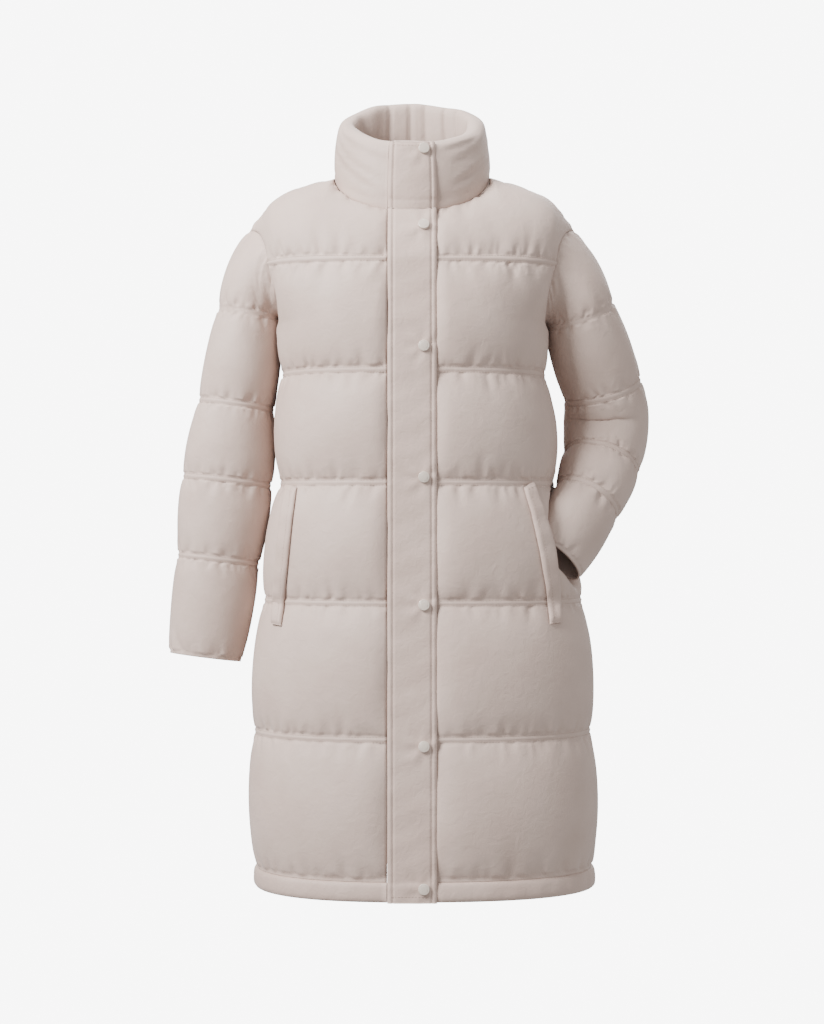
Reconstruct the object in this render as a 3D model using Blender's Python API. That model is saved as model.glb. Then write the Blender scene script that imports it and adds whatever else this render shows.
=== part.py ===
"""A long quilted puffer coat, standing open and hollow as it hangs on a wearer.

Metres, +Z up. The coat faces -Y, and the wearer's left is +X. The origin is at the neck: on the
centre plane, level with the points where the shoulder seams meet the collar.
The padded panels are slabs between an outer and an inner grid of points, and each neighbour is
made from the same seam points, moved by the seam gap.
"""

import math

import bpy
import numpy as np
from mathutils import Vector
from mathutils.bvhtree import BVHTree

# ---- driving dimensions -------------------------------------------------------------------------
SEAM_GAP = 0.0004
SEAM_WALL = 0.004
SQUARENESS = 2.4  # exponent of the body's rounded sections, 2 is an ellipse

# Quilt lines, as heights on the body.
HEM_BOTTOM = -0.985
HEM_SEAM = -0.959
QUILT_LINES = (-0.770, -0.589, -0.428, -0.277)
ARMPIT = -0.211
YOKE_LINE = -0.127

# Half widths and depths of the body at the stitched lines, where the padding is thinnest.
# height, right half width, left half width, front depth, back depth
BODY = (
    (HEM_BOTTOM, 0.217, 0.253, 0.163, 0.158),
    (HEM_SEAM, 0.217, 0.251, 0.162, 0.157),
    (-0.770, 0.2195, 0.249, 0.160, 0.155),
    (-0.589, 0.206, 0.237, 0.154, 0.150),
    (-0.428, 0.184, 0.199, 0.148, 0.146),
    (-0.277, 0.181, 0.186, 0.145, 0.146),
    (ARMPIT, 0.180, 0.181, 0.144, 0.145),
    (YOKE_LINE, 0.206, 0.206, 0.135, 0.136),
)

PUFF_OUT = 0.015  # rise of the padding between two quilt lines, on the front and back
PUFF_IN = 0.006  # the same towards the lining
SIDE_PUFF = 0.28  # share of that rise at the side seams
YOKE_PUFF = 0.8  # and on the yoke
YOKE_ROUNDNESS = 0.35  # of its arc at the neck, where 1 is a quarter circle

# Armhole: an egg-shaped loop that is widest at the yoke line.
ARMHOLE_HALF_DEPTH = 0.066
SHOULDER_POINT = (0.228, 0.0, -0.074)
NECK_POINT = (0.108, 0.0, 0.0)
NECK_FRONT = (0.104, -0.060)  # depth and height of the neck seam at the centre front
NECK_BACK = (0.084, 0.020)  # and at the centre back

# Collar: a padded ring, tilted down to the front.
COLLAR_TOP = 0.080  # height of its top edge over the shoulders
COLLAR_TILT = 0.46
COLLAR_LEAN = 0.93  # size of its top ring against the neck seam
COLLAR_WALL = 0.026
COLLAR_FACE_POINTS = 4  # points of its outline, below, that face outwards

# Placket, which closes over the left front with snaps.
PLACKET_HALF_WIDTH = 0.0333
# x of the left front's columns behind the placket
UNDERLAP_COLUMNS = (-0.0305, -0.0100, 0.0115)
PLACKET_CLEARANCE = 0.0006
PLACKET_WALL = 0.0055
HEM_BULGE = 0.0015  # step of the placket over the hem
SNAP_X = 0.0158
SNAP_RADIUS = 0.0075
SNAP_HEIGHT = 0.0032
# height of each snap on the placket
SNAPS = (0.024, -0.082, -0.246, -0.421, -0.591, -0.778, -0.966)

# Sleeves, as sections square to the arm: the centre, half width across the arm, half depth from
# front to back, and turn about the arm in degrees. "line" sections are quilt lines.
# kind, x, y, z, half width, half depth, turn
RIGHT_SLEEVE = (
    ("line", -0.2270, 0.004, -0.1900, 0.0450, 0.063, 0),
    ("line", -0.2460, 0.006, -0.3170, 0.0530, 0.062, 0),
    ("line", -0.2590, 0.004, -0.4240, 0.062, 0.060, 0),
    ("line", -0.2710, 0.000, -0.5340, 0.057, 0.055, 0),
    ("end", -0.2885, -0.006, -0.6700, 0.051, 0.046, 0),
)
LEFT_SLEEVE = (
    ("line", 0.2330, 0.006, -0.1880, 0.0510, 0.063, 0),
    ("line", 0.2690, 0.034, -0.2930, 0.0560, 0.058, 0),
    ("bend", 0.2760, 0.047, -0.3430, 0.0570, 0.052, 4),
    ("line", 0.2660, 0.018, -0.3990, 0.055, 0.048, 14),
    ("line", 0.2430, -0.022, -0.4520, 0.050, 0.041, 24),
    ("end", 0.1980, -0.072, -0.5330, 0.046, 0.027, 34),
)
SLEEVE_WALL = 0.004
SLEEVE_PUFF = 0.005
SLEEVE_ROOM = 0.0012
CUFF_ROOM = 0.012
RINGS_PER_CHANNEL = 4
CAP_STEPS = 4

# The left pocket, where the panel is thicker around the hollow that the cuff sits in.
POCKET_CENTRE = (0.180, -0.530)
POCKET_REACH = (0.060, 0.070)
POCKET_OUT = 0.006
POCKET_IN = 0.062

# Pocket welts: the strip's two long edges, as seen from the front.
# inner x, inner height, outer x, outer height
RIGHT_WELT = (
    (0.1545, -0.4350, 0.1715, -0.4300),
    (0.1600, -0.4800, 0.1780, -0.4780),
    (0.1660, -0.5400, 0.1840, -0.5390),
    (0.1715, -0.5890, 0.1890, -0.5880),
    (0.1750, -0.6210, 0.1890, -0.6190),
)
LEFT_WELT = (
    (0.1490, -0.4350, 0.1640, -0.4280),
    (0.1590, -0.4700, 0.1790, -0.4680),
    (0.1700, -0.5200, 0.1930, -0.5180),
    (0.1790, -0.5700, 0.1990, -0.5690),
    (0.1840, -0.6180, 0.2010, -0.6170),
)
WELT_WALL = 0.005
WELT_CLEARANCE = 0.0016
WELT_STEPS = 4

# Columns of each panel, from the placket or centre line to its outer edge.
NECK_COLUMNS = 3
SHOULDER_COLUMNS = 4
CHANNEL_ROWS = 4
YOKE_ROWS = 5

FABRIC = (0.62, 0.53, 0.48)


# ---- small helpers ------------------------------------------------------------------------------
def between(low, high, share):
    return low + (high - low) * share


def table_value(rows, key, column):
    """Value of a table's column at a height, straight between its rows."""
    for lower, upper in zip(rows, rows[1:]):
        if key <= upper[0]:
            share = (key - lower[0]) / (upper[0] - lower[0])
            return between(lower[column], upper[column], max(share, 0.0))
    return rows[-1][column]


def unit(vectors):
    return vectors / np.linalg.norm(vectors, axis=-1, keepdims=True)


def material(name, color, roughness, metallic=0.0):
    made = bpy.data.materials.new(name)
    made.use_nodes = True
    shader = made.node_tree.nodes["Principled BSDF"]
    shader.inputs["Base Color"].default_value = (*color, 1.0)
    shader.inputs["Roughness"].default_value = roughness
    shader.inputs["Metallic"].default_value = metallic
    return made


def add_object(name, points, faces, look):
    """One closed mesh with its faces pointing out."""
    points = np.asarray(points, float)
    volume = 0.0
    for face in faces:
        for second, third in zip(face[1:], face[2:]):
            volume += np.dot(points[face[0]], np.cross(points[second], points[third]))
    if volume < 0:
        faces = [face[::-1] for face in faces]
    mesh = bpy.data.meshes.new(name)
    mesh.from_pydata([tuple(point) for point in points], [], faces)
    mesh.materials.append(look)
    mesh.shade_smooth()
    mesh.set_sharp_from_angle(angle=math.radians(50))
    made = bpy.data.objects.new(name, mesh)
    bpy.context.scene.collection.objects.link(made)
    return made


def rim_faces(points, quad):
    """The two triangles of a rim's quad, split alike on both of the pieces that meet there."""
    after, here, here_inner, after_inner = quad
    if points[here][2] < points[after][2]:
        return [(after, here, after_inner), (here, here_inner, after_inner)]
    return [(after, here, here_inner), (after, here_inner, after_inner)]


def add_slab(name, outer, inner, look):
    """A slab between two equal grids, with a rim all round."""
    rows, columns = outer.shape[:2]
    count = rows * columns
    points = np.concatenate([outer.reshape(-1, 3), inner.reshape(-1, 3)])
    faces = []
    for row in range(rows - 1):
        for column in range(columns - 1):
            first = row * columns + column
            quad = (first, first + 1, first + columns + 1, first + columns)
            faces.append(quad)
            faces.append(tuple(count + index for index in reversed(quad)))
    rim = list(range(columns))
    rim += [row * columns + columns - 1 for row in range(1, rows)]
    rim += [(rows - 1) * columns + column for column in range(columns - 2, -1, -1)]
    rim += [row * columns for row in range(rows - 2, 0, -1)]
    for here, after in zip(rim, rim[1:] + rim[:1]):
        faces += rim_faces(points, (after, here, count + here, count + after))
    return add_object(name, points, faces, look)


def add_tube(name, outer, inner, look):
    """A tube wall between two stacks of rings, open at both ends."""
    rings, around = outer.shape[:2]
    count = rings * around
    points = np.concatenate([outer.reshape(-1, 3), inner.reshape(-1, 3)])
    faces = []
    for ring in range(rings - 1):
        for here in range(around):
            after = (here + 1) % around
            quad = (
                ring * around + here,
                ring * around + after,
                (ring + 1) * around + after,
                (ring + 1) * around + here,
            )
            faces.append(quad)
            faces.append(tuple(count + index for index in reversed(quad)))
    for ring in (0, rings - 1):
        for here in range(around):
            after = (here + 1) % around
            quad = (
                ring * around + after,
                ring * around + here,
                count + ring * around + here,
                count + ring * around + after,
            )
            triangles = rim_faces(points, quad)
            faces += triangles if ring == 0 else [triangle[::-1] for triangle in triangles]
    return add_object(name, points, faces, look)


def add_loft(name, sections, look):
    """A closed form through equal closed sections, capped at both ends."""
    stations, around = sections.shape[:2]
    faces = []
    for station in range(stations - 1):
        for here in range(around):
            after = (here + 1) % around
            faces.append(
                (
                    station * around + here,
                    station * around + after,
                    (station + 1) * around + after,
                    (station + 1) * around + here,
                )
            )
    faces.append(tuple(reversed(range(around))))
    last = (stations - 1) * around
    faces.append(tuple(range(last, last + around)))
    return add_object(name, sections.reshape(-1, 3), faces, look)


# ---- body form ----------------------------------------------------------------------------------
def armhole_edge(height):
    """Half width and half depth of the armhole at a height between the armpit and yoke line."""
    share = (height - ARMPIT) / (YOKE_LINE - ARMPIT)
    half_width = between(0.180, 0.199, share**1.5)
    half_depth = ARMHOLE_HALF_DEPTH * math.sqrt(1 - (1 - share) ** 2)
    return half_width, half_depth


def section_point(height, side, facing, column, explicit):
    """Point of a level section. column is a share from the first column to the outer edge, or an
    x of its own where explicit is set."""
    half_width = table_value(BODY, height, 2 if side > 0 else 1)
    depth = table_value(BODY, height, 3 if facing < 0 else 4)
    last = math.pi / 2
    if height > ARMPIT + 1e-6:
        edge, edge_depth = armhole_edge(height)
        half_width = edge / (1 - (edge_depth / depth) ** SQUARENESS) ** (1 / SQUARENESS)
        last = math.acos((edge_depth / depth) ** (SQUARENESS / 2))
    start = PLACKET_HALF_WIDTH if facing < 0 else 0.0
    if explicit:
        angle = math.copysign(math.asin((abs(column) / half_width) ** (SQUARENESS / 2)), column)
    else:
        first = math.asin((start / half_width) ** (SQUARENESS / 2))
        angle = between(first, last, column)
    across = math.copysign(abs(math.sin(angle)) ** (2 / SQUARENESS), angle)
    along = max(math.cos(angle), 0.0) ** (2 / SQUARENESS)
    return np.array([side * half_width * across, facing * depth * along, height])


def top_point(side, facing, column, explicit):
    """Point of the neck seam or, past the neck point, of the shoulder seam."""
    depth, height = NECK_FRONT if facing < 0 else NECK_BACK
    start = PLACKET_HALF_WIDTH if facing < 0 else 0.0
    neck_share = NECK_COLUMNS / (NECK_COLUMNS + SHOULDER_COLUMNS)
    if explicit:
        angle = math.asin(column / NECK_POINT[0])
    elif column <= neck_share:
        first = math.asin(start / NECK_POINT[0])
        angle = between(first, math.pi / 2, column / neck_share)
    else:
        share = (column - neck_share) / (1 - neck_share)
        across = between(NECK_POINT[0], SHOULDER_POINT[0], share)
        drop = 0.45 * share + 0.55 * share**4
        return np.array([side * across, 0.0, SHOULDER_POINT[2] * drop])
    return np.array(
        [
            side * NECK_POINT[0] * math.sin(angle),
            facing * depth * math.cos(angle),
            height * math.cos(angle),
        ]
    )


def yoke_point(share, side, facing, column, explicit):
    """The yoke rises from the yoke line in an arc, rounder over the shoulder than at the neck."""
    low = section_point(YOKE_LINE, side, facing, column, explicit)
    high = top_point(side, facing, column, explicit)
    roundness = YOKE_ROUNDNESS if explicit else between(YOKE_ROUNDNESS, 1.0, column)
    turn = share * math.pi / 2
    rise = between(share, math.sin(turn), roundness)
    run = between(share, 1 - math.cos(turn), roundness)
    across = between(low[0], high[0], run)
    along = between(low[1], high[1], run)
    return np.array([across, along, between(low[2], high[2], rise)])


def body_rows(bottom):
    """Rows of a panel from its bottom edge up: kind, value and share of the puff."""
    rows = []
    lines = (bottom,) + QUILT_LINES
    for low, high in zip(lines, lines[1:]):
        for step in range(CHANNEL_ROWS):
            share = step / CHANNEL_ROWS
            rows.append(("level", between(low, high, share), puff_profile(share)))
    low = QUILT_LINES[-1]
    chest_heights = [low, between(low, ARMPIT, 0.5), ARMPIT]
    chest_heights += [between(ARMPIT, YOKE_LINE, step / 3) for step in (1, 2)]
    for height in chest_heights:
        share = (height - low) / (YOKE_LINE - low)
        rows.append(("level", height, puff_profile(share)))
    for step in range(YOKE_ROWS + 1):
        share = step / YOKE_ROWS
        rows.append(("yoke", share, puff_profile(share) * YOKE_PUFF))
    return rows


def puff_profile(share):
    """Rise of the padding from one quilt line to the next, as a share of its height."""
    return math.sin(math.pi * share) ** 0.6


def grid_normals(grid, outward):
    """Normals of a grid of points, turned to the side that outward points to."""
    normals = unit(np.cross(np.gradient(grid, axis=1), np.gradient(grid, axis=0)))
    flip = np.sign((normals * outward).sum(axis=-1, keepdims=True))
    return normals * flip


def pocket_share(points):
    """How far a point of the left front is inside the pocket that holds the cuff, from 0 to 1."""
    across = (points[..., 0] - POCKET_CENTRE[0]) / POCKET_REACH[0]
    up = (points[..., 2] - POCKET_CENTRE[1]) / POCKET_REACH[1]
    return np.exp(-(across**2) - up**2) * (points[..., 1] < 0)


def panel(columns, facing, has_pocket=False):
    """Outer and inner grids of a panel. columns lists side, column, explicit and the share of the
    puff for each column, from one outer edge to the other."""
    rows = body_rows(HEM_SEAM + SEAM_GAP)
    base = np.empty((len(rows), len(columns), 3))
    puff = np.empty(base.shape[:2])
    for row, (kind, value, rise) in enumerate(rows):
        maker = section_point if kind == "level" else yoke_point
        for index, (side, column, explicit, share) in enumerate(columns):
            base[row, index] = maker(value, side, facing, column, explicit)
            puff[row, index] = rise * share
    normals = grid_normals(base, base - np.array([0, 0, -0.35]))
    is_outer = np.array([not explicit and column == 1 for _, column, explicit, _ in columns])
    level = np.array([kind == "level" and value <= ARMPIT + 1e-6 for kind, value, _ in rows])
    neck_share = NECK_COLUMNS / (NECK_COLUMNS + SHOULDER_COLUMNS)
    past_neck = [not explicit and column >= neck_share - 1e-6 for _, column, explicit, _ in columns]
    shared = np.outer(level, is_outer)
    shared[-1] |= np.array(past_neck)
    normals[shared, 1] = 0
    normals = unit(normals)
    base[shared, 1] += facing * SEAM_GAP / 2
    pocket = pocket_share(base) * has_pocket
    outer = base + normals * (puff * PUFF_OUT + pocket * POCKET_OUT)[..., None]
    inner = base - normals * (SEAM_WALL + puff * PUFF_IN + pocket * POCKET_IN)[..., None]
    return outer, inner


def side_columns(side, facing):
    """Columns of one half, from the placket or centre line to the side."""
    count = NECK_COLUMNS + SHOULDER_COLUMNS
    made = []
    for index in range(count + 1):
        share = index / count
        puff = 1.0
        if index == count:
            puff = SIDE_PUFF
        if index == 0 and facing < 0:
            puff = 0.0
        made.append((side, share, False, puff))
    return made


def armhole_loop(front, back, column):
    """Outer and inner points of the armhole, from the shoulder over the front to the armpit and
    up the back."""
    rows = body_rows(HEM_SEAM)
    at_armpit = [row[0] == "level" and abs(row[1] - ARMPIT) < 1e-6 for row in rows]
    armpit = at_armpit.index(True)
    loops = []
    for layer in (0, 1):
        down = front[layer][armpit:, column[0]][::-1].copy()
        up = back[layer][armpit:, column[1]].copy()
        top = (down[0] + up[-1]) / 2
        bottom = (down[-1] + up[0]) / 2
        loops.append(np.concatenate([[top], down[1:-1], [bottom], up[1:-1]]))
    return loops


# ---- sleeves ------------------------------------------------------------------------------------
def hermite(start, end, start_slope, end_slope, share):
    square = share * share
    cube = square * share
    return (
        start * (2 * cube - 3 * square + 1)
        + start_slope * (cube - 2 * square + share)
        + end * (3 * square - 2 * cube)
        + end_slope * (cube - square)
    )


def sleeve_stations(table):
    """Sections between the table's rows, on a smooth curve: centre, sizes, turn and puff."""
    values = np.array([row[1:] for row in table], float)
    slopes = np.gradient(values, axis=0)
    lines = [index for index, row in enumerate(table) if row[0] != "bend"]
    stations = []
    for index in range(len(table) - 1):
        before = max(line for line in lines if line <= index)
        after = min(line for line in lines if line > index)
        for step in range(RINGS_PER_CHANNEL):
            share = step / RINGS_PER_CHANNEL
            value = hermite(values[index], values[index + 1], slopes[index], slopes[index + 1], share)
            channel = (index + share - before) / (after - before)
            stations.append((value, puff_profile(channel)))
    stations.append((values[-1], 0.0))
    return stations


def sleeve_axes(direction, turn, side):
    """The section's outward and forward axes, square to the arm."""
    outward = unit(np.cross(direction, np.array([0.0, 1.0, 0.0]))) * side
    forward = unit(np.cross(direction, outward)) * side
    angle = math.radians(turn)
    turned_out = outward * math.cos(angle) - forward * math.sin(angle)
    turned_forward = forward * math.cos(angle) + outward * math.sin(angle)
    return turned_out, turned_forward


def sleeve_rings(table, side, count, extra=0.0, past=0.0):
    """Outer and inner rings of the sleeve below its first quilt line."""
    stations = sleeve_stations(table)
    centres = np.array([value[:3] for value, _ in stations])
    directions = unit(np.gradient(centres, axis=0))
    outer = []
    inner = []
    for (value, rise), direction in zip(stations, directions):
        out_axis, front_axis = sleeve_axes(direction, value[5], side)
        for rings, offset in ((outer, rise * SLEEVE_PUFF + extra), (inner, -SLEEVE_WALL)):
            ring = []
            for index in range(count):
                angle = 2 * math.pi * index / count
                across = (value[3] + offset) * math.cos(angle)
                deep = (value[4] + offset) * math.sin(angle)
                ring.append(value[:3] + out_axis * across + front_axis * deep)
            rings.append(ring)
    outer = np.array(outer)
    if past:
        outer[-1] += directions[-1] * past
    return outer, np.array(inner), directions


def sleeve(table, side, loops):
    """The whole sleeve: a cap that turns from the armhole down to the first quilt line, then rings."""
    count = len(loops[0])
    lower_outer, lower_inner, directions = sleeve_rings(table, side, count)
    loop_outer, loop_inner = loops
    tangent = np.roll(loop_outer, -1, axis=0) - np.roll(loop_outer, 1, axis=0)
    away = unit(np.cross(tangent, loop_outer - loop_inner))
    if away[count // 4][0] * side < 0:
        away = -away
    cap = ([], [])
    for layer, (loop, first) in enumerate(((loop_outer, lower_outer[0]), (loop_inner, lower_inner[0]))):
        start = loop + away * SEAM_GAP
        reach = np.linalg.norm(first - start, axis=1, keepdims=True)
        leave = unit(away * 0.6 + np.array([side * 0.8, 0, -0.35]))
        for step in range(CAP_STEPS):
            share = step / CAP_STEPS
            ring = hermite(start, first, leave * reach, directions[0] * reach, share)
            if layer == 0:
                rise = SLEEVE_PUFF * puff_profile(share) * np.clip((reach - 0.02) / 0.08, 0, 1)
                ring = ring + unit(loop_outer - loop_inner) * rise
            cap[layer].append(ring)
    outer = np.concatenate([np.array(cap[0]), lower_outer])
    inner = np.concatenate([np.array(cap[1]), lower_inner])
    return outer, inner


# ---- collar, placket, welts, hem, snaps -----------------------------------------------------------
def collar_sections(stations):
    """Sections of the collar, each a closed outline, round from one end to the other."""
    # share of the height, share of the wall from its outer to its inner face
    outline = (
        (0.00, 0.00),
        (0.25, -0.16),
        (0.55, -0.20),
        (0.84, -0.08),
        (0.96, 0.22),
        (1.00, 0.52),
        (0.95, 0.84),
        (0.80, 1.00),
        (0.50, 0.98),
        (0.22, 0.66),
        (0.00, 0.20),
    )
    sections = []
    for side, facing, angle in stations:
        depth, height = NECK_FRONT if facing < 0 else NECK_BACK
        plan = np.array([side * NECK_POINT[0] * math.sin(angle), facing * depth * math.cos(angle), 0])
        outward = unit(np.array([plan[0] / NECK_POINT[0] ** 2, plan[1] / depth**2, 0]))
        bottom = plan + np.array([0, 0, height * math.cos(angle) + SEAM_GAP * 1.5])
        top = plan * COLLAR_LEAN
        top[2] = COLLAR_TOP + COLLAR_TILT * top[1]
        section = []
        for up, through in outline:
            point = between(bottom, top, up) - outward * COLLAR_WALL * through
            section.append(point)
        sections.append(section)
    return np.array(sections)


def strip_on(grid, seam_row, low, high):
    """Closed sections of a strip lying on a grid of points of the front, from low to high above it.
    Its seam row stands straight out, to meet its neighbour."""
    normals = grid_normals(grid, np.array([0.0, -1.0, 0.0]))
    normals = unit(normals * np.array([0, 1, 1]))
    normals[seam_row] = (0, -1, 0)
    under = grid + normals * low
    over = grid + normals * high
    return np.concatenate([under, over[:, ::-1]], axis=1)


def placket_grid(front):
    """Points under the placket, from the coat's bottom edge to the neck seam."""
    columns = len(UNDERLAP_COLUMNS) + 1
    grid = front[0][:, :columns].copy()
    grid[:, 0, 0] = -PLACKET_HALF_WIDTH + SEAM_GAP * 2
    foot = np.repeat(grid[:1], 2, axis=0)
    foot[:, :, 1] -= HEM_BULGE
    foot[:, :, 2] = np.array([[HEM_BOTTOM - SEAM_GAP], [between(HEM_BOTTOM, HEM_SEAM, 0.5)]])
    grid[-1] += unit(grid[-2] - grid[-1]) * SEAM_GAP
    return np.concatenate([foot, grid])


def collar_placket_grid(sections):
    """Points under the collar's part of the placket, from the neck seam to the collar's top."""
    columns = len(UNDERLAP_COLUMNS) + 1
    grid = sections[:columns, :COLLAR_FACE_POINTS].transpose(1, 0, 2).copy()
    grid[:, 0, 0] = -PLACKET_HALF_WIDTH + SEAM_GAP * 2
    top = grid[-1] + (grid[-1] - grid[-2]) * 0.5
    grid[0] += unit(grid[1] - grid[0]) * SEAM_GAP * 2
    return np.concatenate([grid, top[None]])


def make_room(panels, name, rings, look):
    """Cuts the space of a sleeve, with a little clearance, out of the panels that it lies against."""
    cutter = add_loft(name, rings, look)
    cutter.hide_render = True
    cutter.display_type = "WIRE"
    for target in panels:
        cut = target.modifiers.new("Sleeve room", "BOOLEAN")
        cut.operation = "DIFFERENCE"
        cut.object = cutter
    return cutter


def surface_of(piece):
    """The surface of a piece, to find where a ray meets it."""
    mesh = piece.data
    points = [vertex.co for vertex in mesh.vertices]
    return BVHTree.FromPolygons(points, [list(face.vertices) for face in mesh.polygons])


def add_welt(name, table, side, panel_object, look):
    """A pocket welt, a padded strip on the front panel."""
    tree = surface_of(panel_object)
    sections = []
    rows = np.array(table)
    fine = []
    for low, high in zip(rows, rows[1:]):
        fine += [between(low, high, step / WELT_STEPS) for step in range(WELT_STEPS)]
    for inner_x, inner_z, outer_x, outer_z in fine + [rows[-1]]:
        lower = []
        upper = []
        for share in (0.0, 0.5, 1.0):
            x = side * between(inner_x, outer_x, share)
            height = between(inner_z, outer_z, share)
            spot, normal, _, _ = tree.ray_cast(Vector((x, -0.5, height)), Vector((0, 1, 0)))
            out = np.array(normal) * np.array([1, 1, 0.3])
            out = unit(out)
            spot = np.array(spot)
            lower.append(spot + out * WELT_CLEARANCE)
            upper.append(spot + out * (WELT_CLEARANCE + WELT_WALL * (1.0 if share == 0.5 else 0.6)))
        sections.append(lower + upper[::-1])
    return add_loft(name, np.array(sections), look)


def add_hem(name, columns, facing, look):
    """A rolled hem band under a panel."""
    # share of the band's height from its bottom, distance out from the stitched form
    outline = ((1.0, 0.000), (0.72, 0.0065), (0.35, 0.0075), (0.06, 0.0040), (0.0, -0.0015))
    inside = ((0.06, -0.0065), (0.5, -0.0090), (1.0, -SEAM_WALL))
    sections = []
    for side, column, explicit, puff in columns:
        section = []
        for share, out in outline + inside:
            out = min(out, 0.0) if puff == 0 else out
            height = between(HEM_BOTTOM, HEM_SEAM - SEAM_GAP, share)
            point = section_point(height, side, facing, column, explicit)
            outward = unit(np.array([point[0], point[1] * 2.0, 0.0]))
            if not explicit and column == 1:
                point[1] += facing * SEAM_GAP / 2
                outward = np.array([float(side), 0.0, 0.0])
            section.append(point + outward * out)
        sections.append(section)
    return add_loft(name, np.array(sections), look)


def add_snap(name, height, strips, look):
    """A snap cap on the placket: a low dome with a rounded edge."""
    for strip in strips:
        ahead = Vector((SNAP_X, -0.5, height))
        spot, facing, _, _ = surface_of(strip).ray_cast(ahead, Vector((0, 1, 0)))
        if spot:
            break
    normal = unit(np.array(facing))
    centre = np.array(spot) + normal * PLACKET_CLEARANCE
    # share of the radius, share of the height
    profile = ((0.94, 0.0), (1.0, 0.30), (0.97, 0.62), (0.80, 0.90), (0.45, 1.0))
    sides = 14
    across = unit(np.cross(normal, np.array([0, 0, 1.0])))
    up = np.cross(across, normal)
    sections = []
    for radius, height in profile:
        ring = []
        for index in range(sides):
            angle = 2 * math.pi * index / sides
            spoke = across * math.cos(angle) + up * math.sin(angle)
            ring.append(centre + spoke * SNAP_RADIUS * radius + normal * SNAP_HEIGHT * height)
        sections.append(ring)
    return add_loft(name, np.array(sections), look)


# ---- the coat -------------------------------------------------------------------------------------
for old in list(bpy.data.objects):
    bpy.data.objects.remove(old)

shell = material("quilted_shell", FABRIC, 0.6)
trim = material("plain_shell", (0.64, 0.55, 0.50), 0.6)
cap_metal = material("snap_caps", (0.66, 0.58, 0.52), 0.4)

right_half = side_columns(-1, -1)
left_half = side_columns(1, -1)
underlap = [(1, x, True, 0.0) for x in UNDERLAP_COLUMNS]
left_front_columns = underlap + left_half
back_columns = side_columns(-1, 1)[::-1] + side_columns(1, 1)[1:]

right_front = panel(right_half, -1)
left_front = panel(left_front_columns, -1, has_pocket=True)
back = panel(back_columns, 1)

front_right = add_slab("front_right", *right_front, shell)
front_left = add_slab("front_left", *left_front, shell)
back_panel = add_slab("back", *back, shell)

last = len(back_columns) - 1
right_loops = armhole_loop(right_front, back, (len(right_half) - 1, 0))
left_loops = armhole_loop(left_front, back, (len(left_front_columns) - 1, last))
right_outer, right_inner = sleeve(RIGHT_SLEEVE, -1, right_loops)
left_outer, left_inner = sleeve(LEFT_SLEEVE, 1, left_loops)
add_tube("sleeve_right", right_outer, right_inner, shell)
add_tube("sleeve_left", left_outer, left_inner, shell)

for name, outer, panels in (
    ("room_right", right_outer, (front_right, back_panel)),
    ("room_left", left_outer, (front_left, back_panel)),
):
    rings = outer[1:]
    middles = rings.mean(axis=1, keepdims=True)
    rings = rings + unit(rings - middles) * SLEEVE_ROOM
    rings[-1] += unit(middles[-1] - middles[-2]) * CUFF_ROOM
    make_room(panels, name, rings, shell)

start_angle = math.asin(PLACKET_HALF_WIDTH / NECK_POINT[0])
neck_angles = [between(start_angle, math.pi / 2, index / NECK_COLUMNS) for index in range(NECK_COLUMNS + 1)]
back_angles = [between(0.0, math.pi / 2, index / NECK_COLUMNS) for index in range(NECK_COLUMNS + 1)]
around = [(1, -1, math.asin(column / NECK_POINT[0])) for _, column, _, _ in underlap]
around += [(1, -1, angle) for angle in neck_angles]
around += [(1, 1, angle) for angle in back_angles[-2::-1]]
around += [(-1, 1, angle) for angle in back_angles[1:-1]]
around += [(-1, -1, angle) for angle in neck_angles[::-1]]
collar = collar_sections(around)
add_loft("collar", collar, shell)

for name, columns, facing in (
    ("hem_front_right", right_half, -1),
    ("hem_front_left", left_front_columns, -1),
    ("hem_back", back_columns, 1),
):
    add_hem(name, columns, facing, trim)

placket = strip_on(placket_grid(left_front), -1, PLACKET_CLEARANCE, PLACKET_WALL)
placket_collar = strip_on(collar_placket_grid(collar), 0, PLACKET_CLEARANCE, PLACKET_WALL)
strips = (
    add_loft("placket", placket, trim),
    add_loft("placket_collar", placket_collar, trim),
)
add_welt("welt_right", RIGHT_WELT, -1, front_right, trim)
add_welt("welt_left", LEFT_WELT, 1, front_left, trim)
for number, height in enumerate(SNAPS, 1):
    add_snap(f"snap_{number}", height, strips, cap_metal)
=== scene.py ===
"""Looks of a long quilted puffer coat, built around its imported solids.

Metres, +Z up, the front faces -Y, the wearer's left is +X. Each padded panel is one closed piece:
a fine outer grid, whose cloth is blown up between its stitched lines, and a plain inner grid.
"""

import math
import random

import bmesh
import bpy
import numpy as np
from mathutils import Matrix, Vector
from mathutils.bvhtree import BVHTree


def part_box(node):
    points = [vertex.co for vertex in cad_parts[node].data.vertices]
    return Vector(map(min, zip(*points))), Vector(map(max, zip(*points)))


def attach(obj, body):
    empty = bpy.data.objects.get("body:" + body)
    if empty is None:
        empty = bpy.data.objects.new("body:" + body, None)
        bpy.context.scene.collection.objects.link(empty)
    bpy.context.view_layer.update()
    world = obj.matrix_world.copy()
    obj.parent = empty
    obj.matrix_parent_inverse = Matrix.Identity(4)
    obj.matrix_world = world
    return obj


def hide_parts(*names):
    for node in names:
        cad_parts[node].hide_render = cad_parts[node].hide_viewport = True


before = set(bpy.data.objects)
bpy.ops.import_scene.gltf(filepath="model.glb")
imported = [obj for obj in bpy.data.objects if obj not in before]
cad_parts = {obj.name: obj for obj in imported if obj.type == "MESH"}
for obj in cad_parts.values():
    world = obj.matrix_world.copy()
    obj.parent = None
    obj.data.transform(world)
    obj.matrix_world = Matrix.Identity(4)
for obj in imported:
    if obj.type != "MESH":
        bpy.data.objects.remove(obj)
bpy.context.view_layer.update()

# ---- sizes, in metres ---------------------------------------------------------------------------
MM = 0.001
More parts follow.
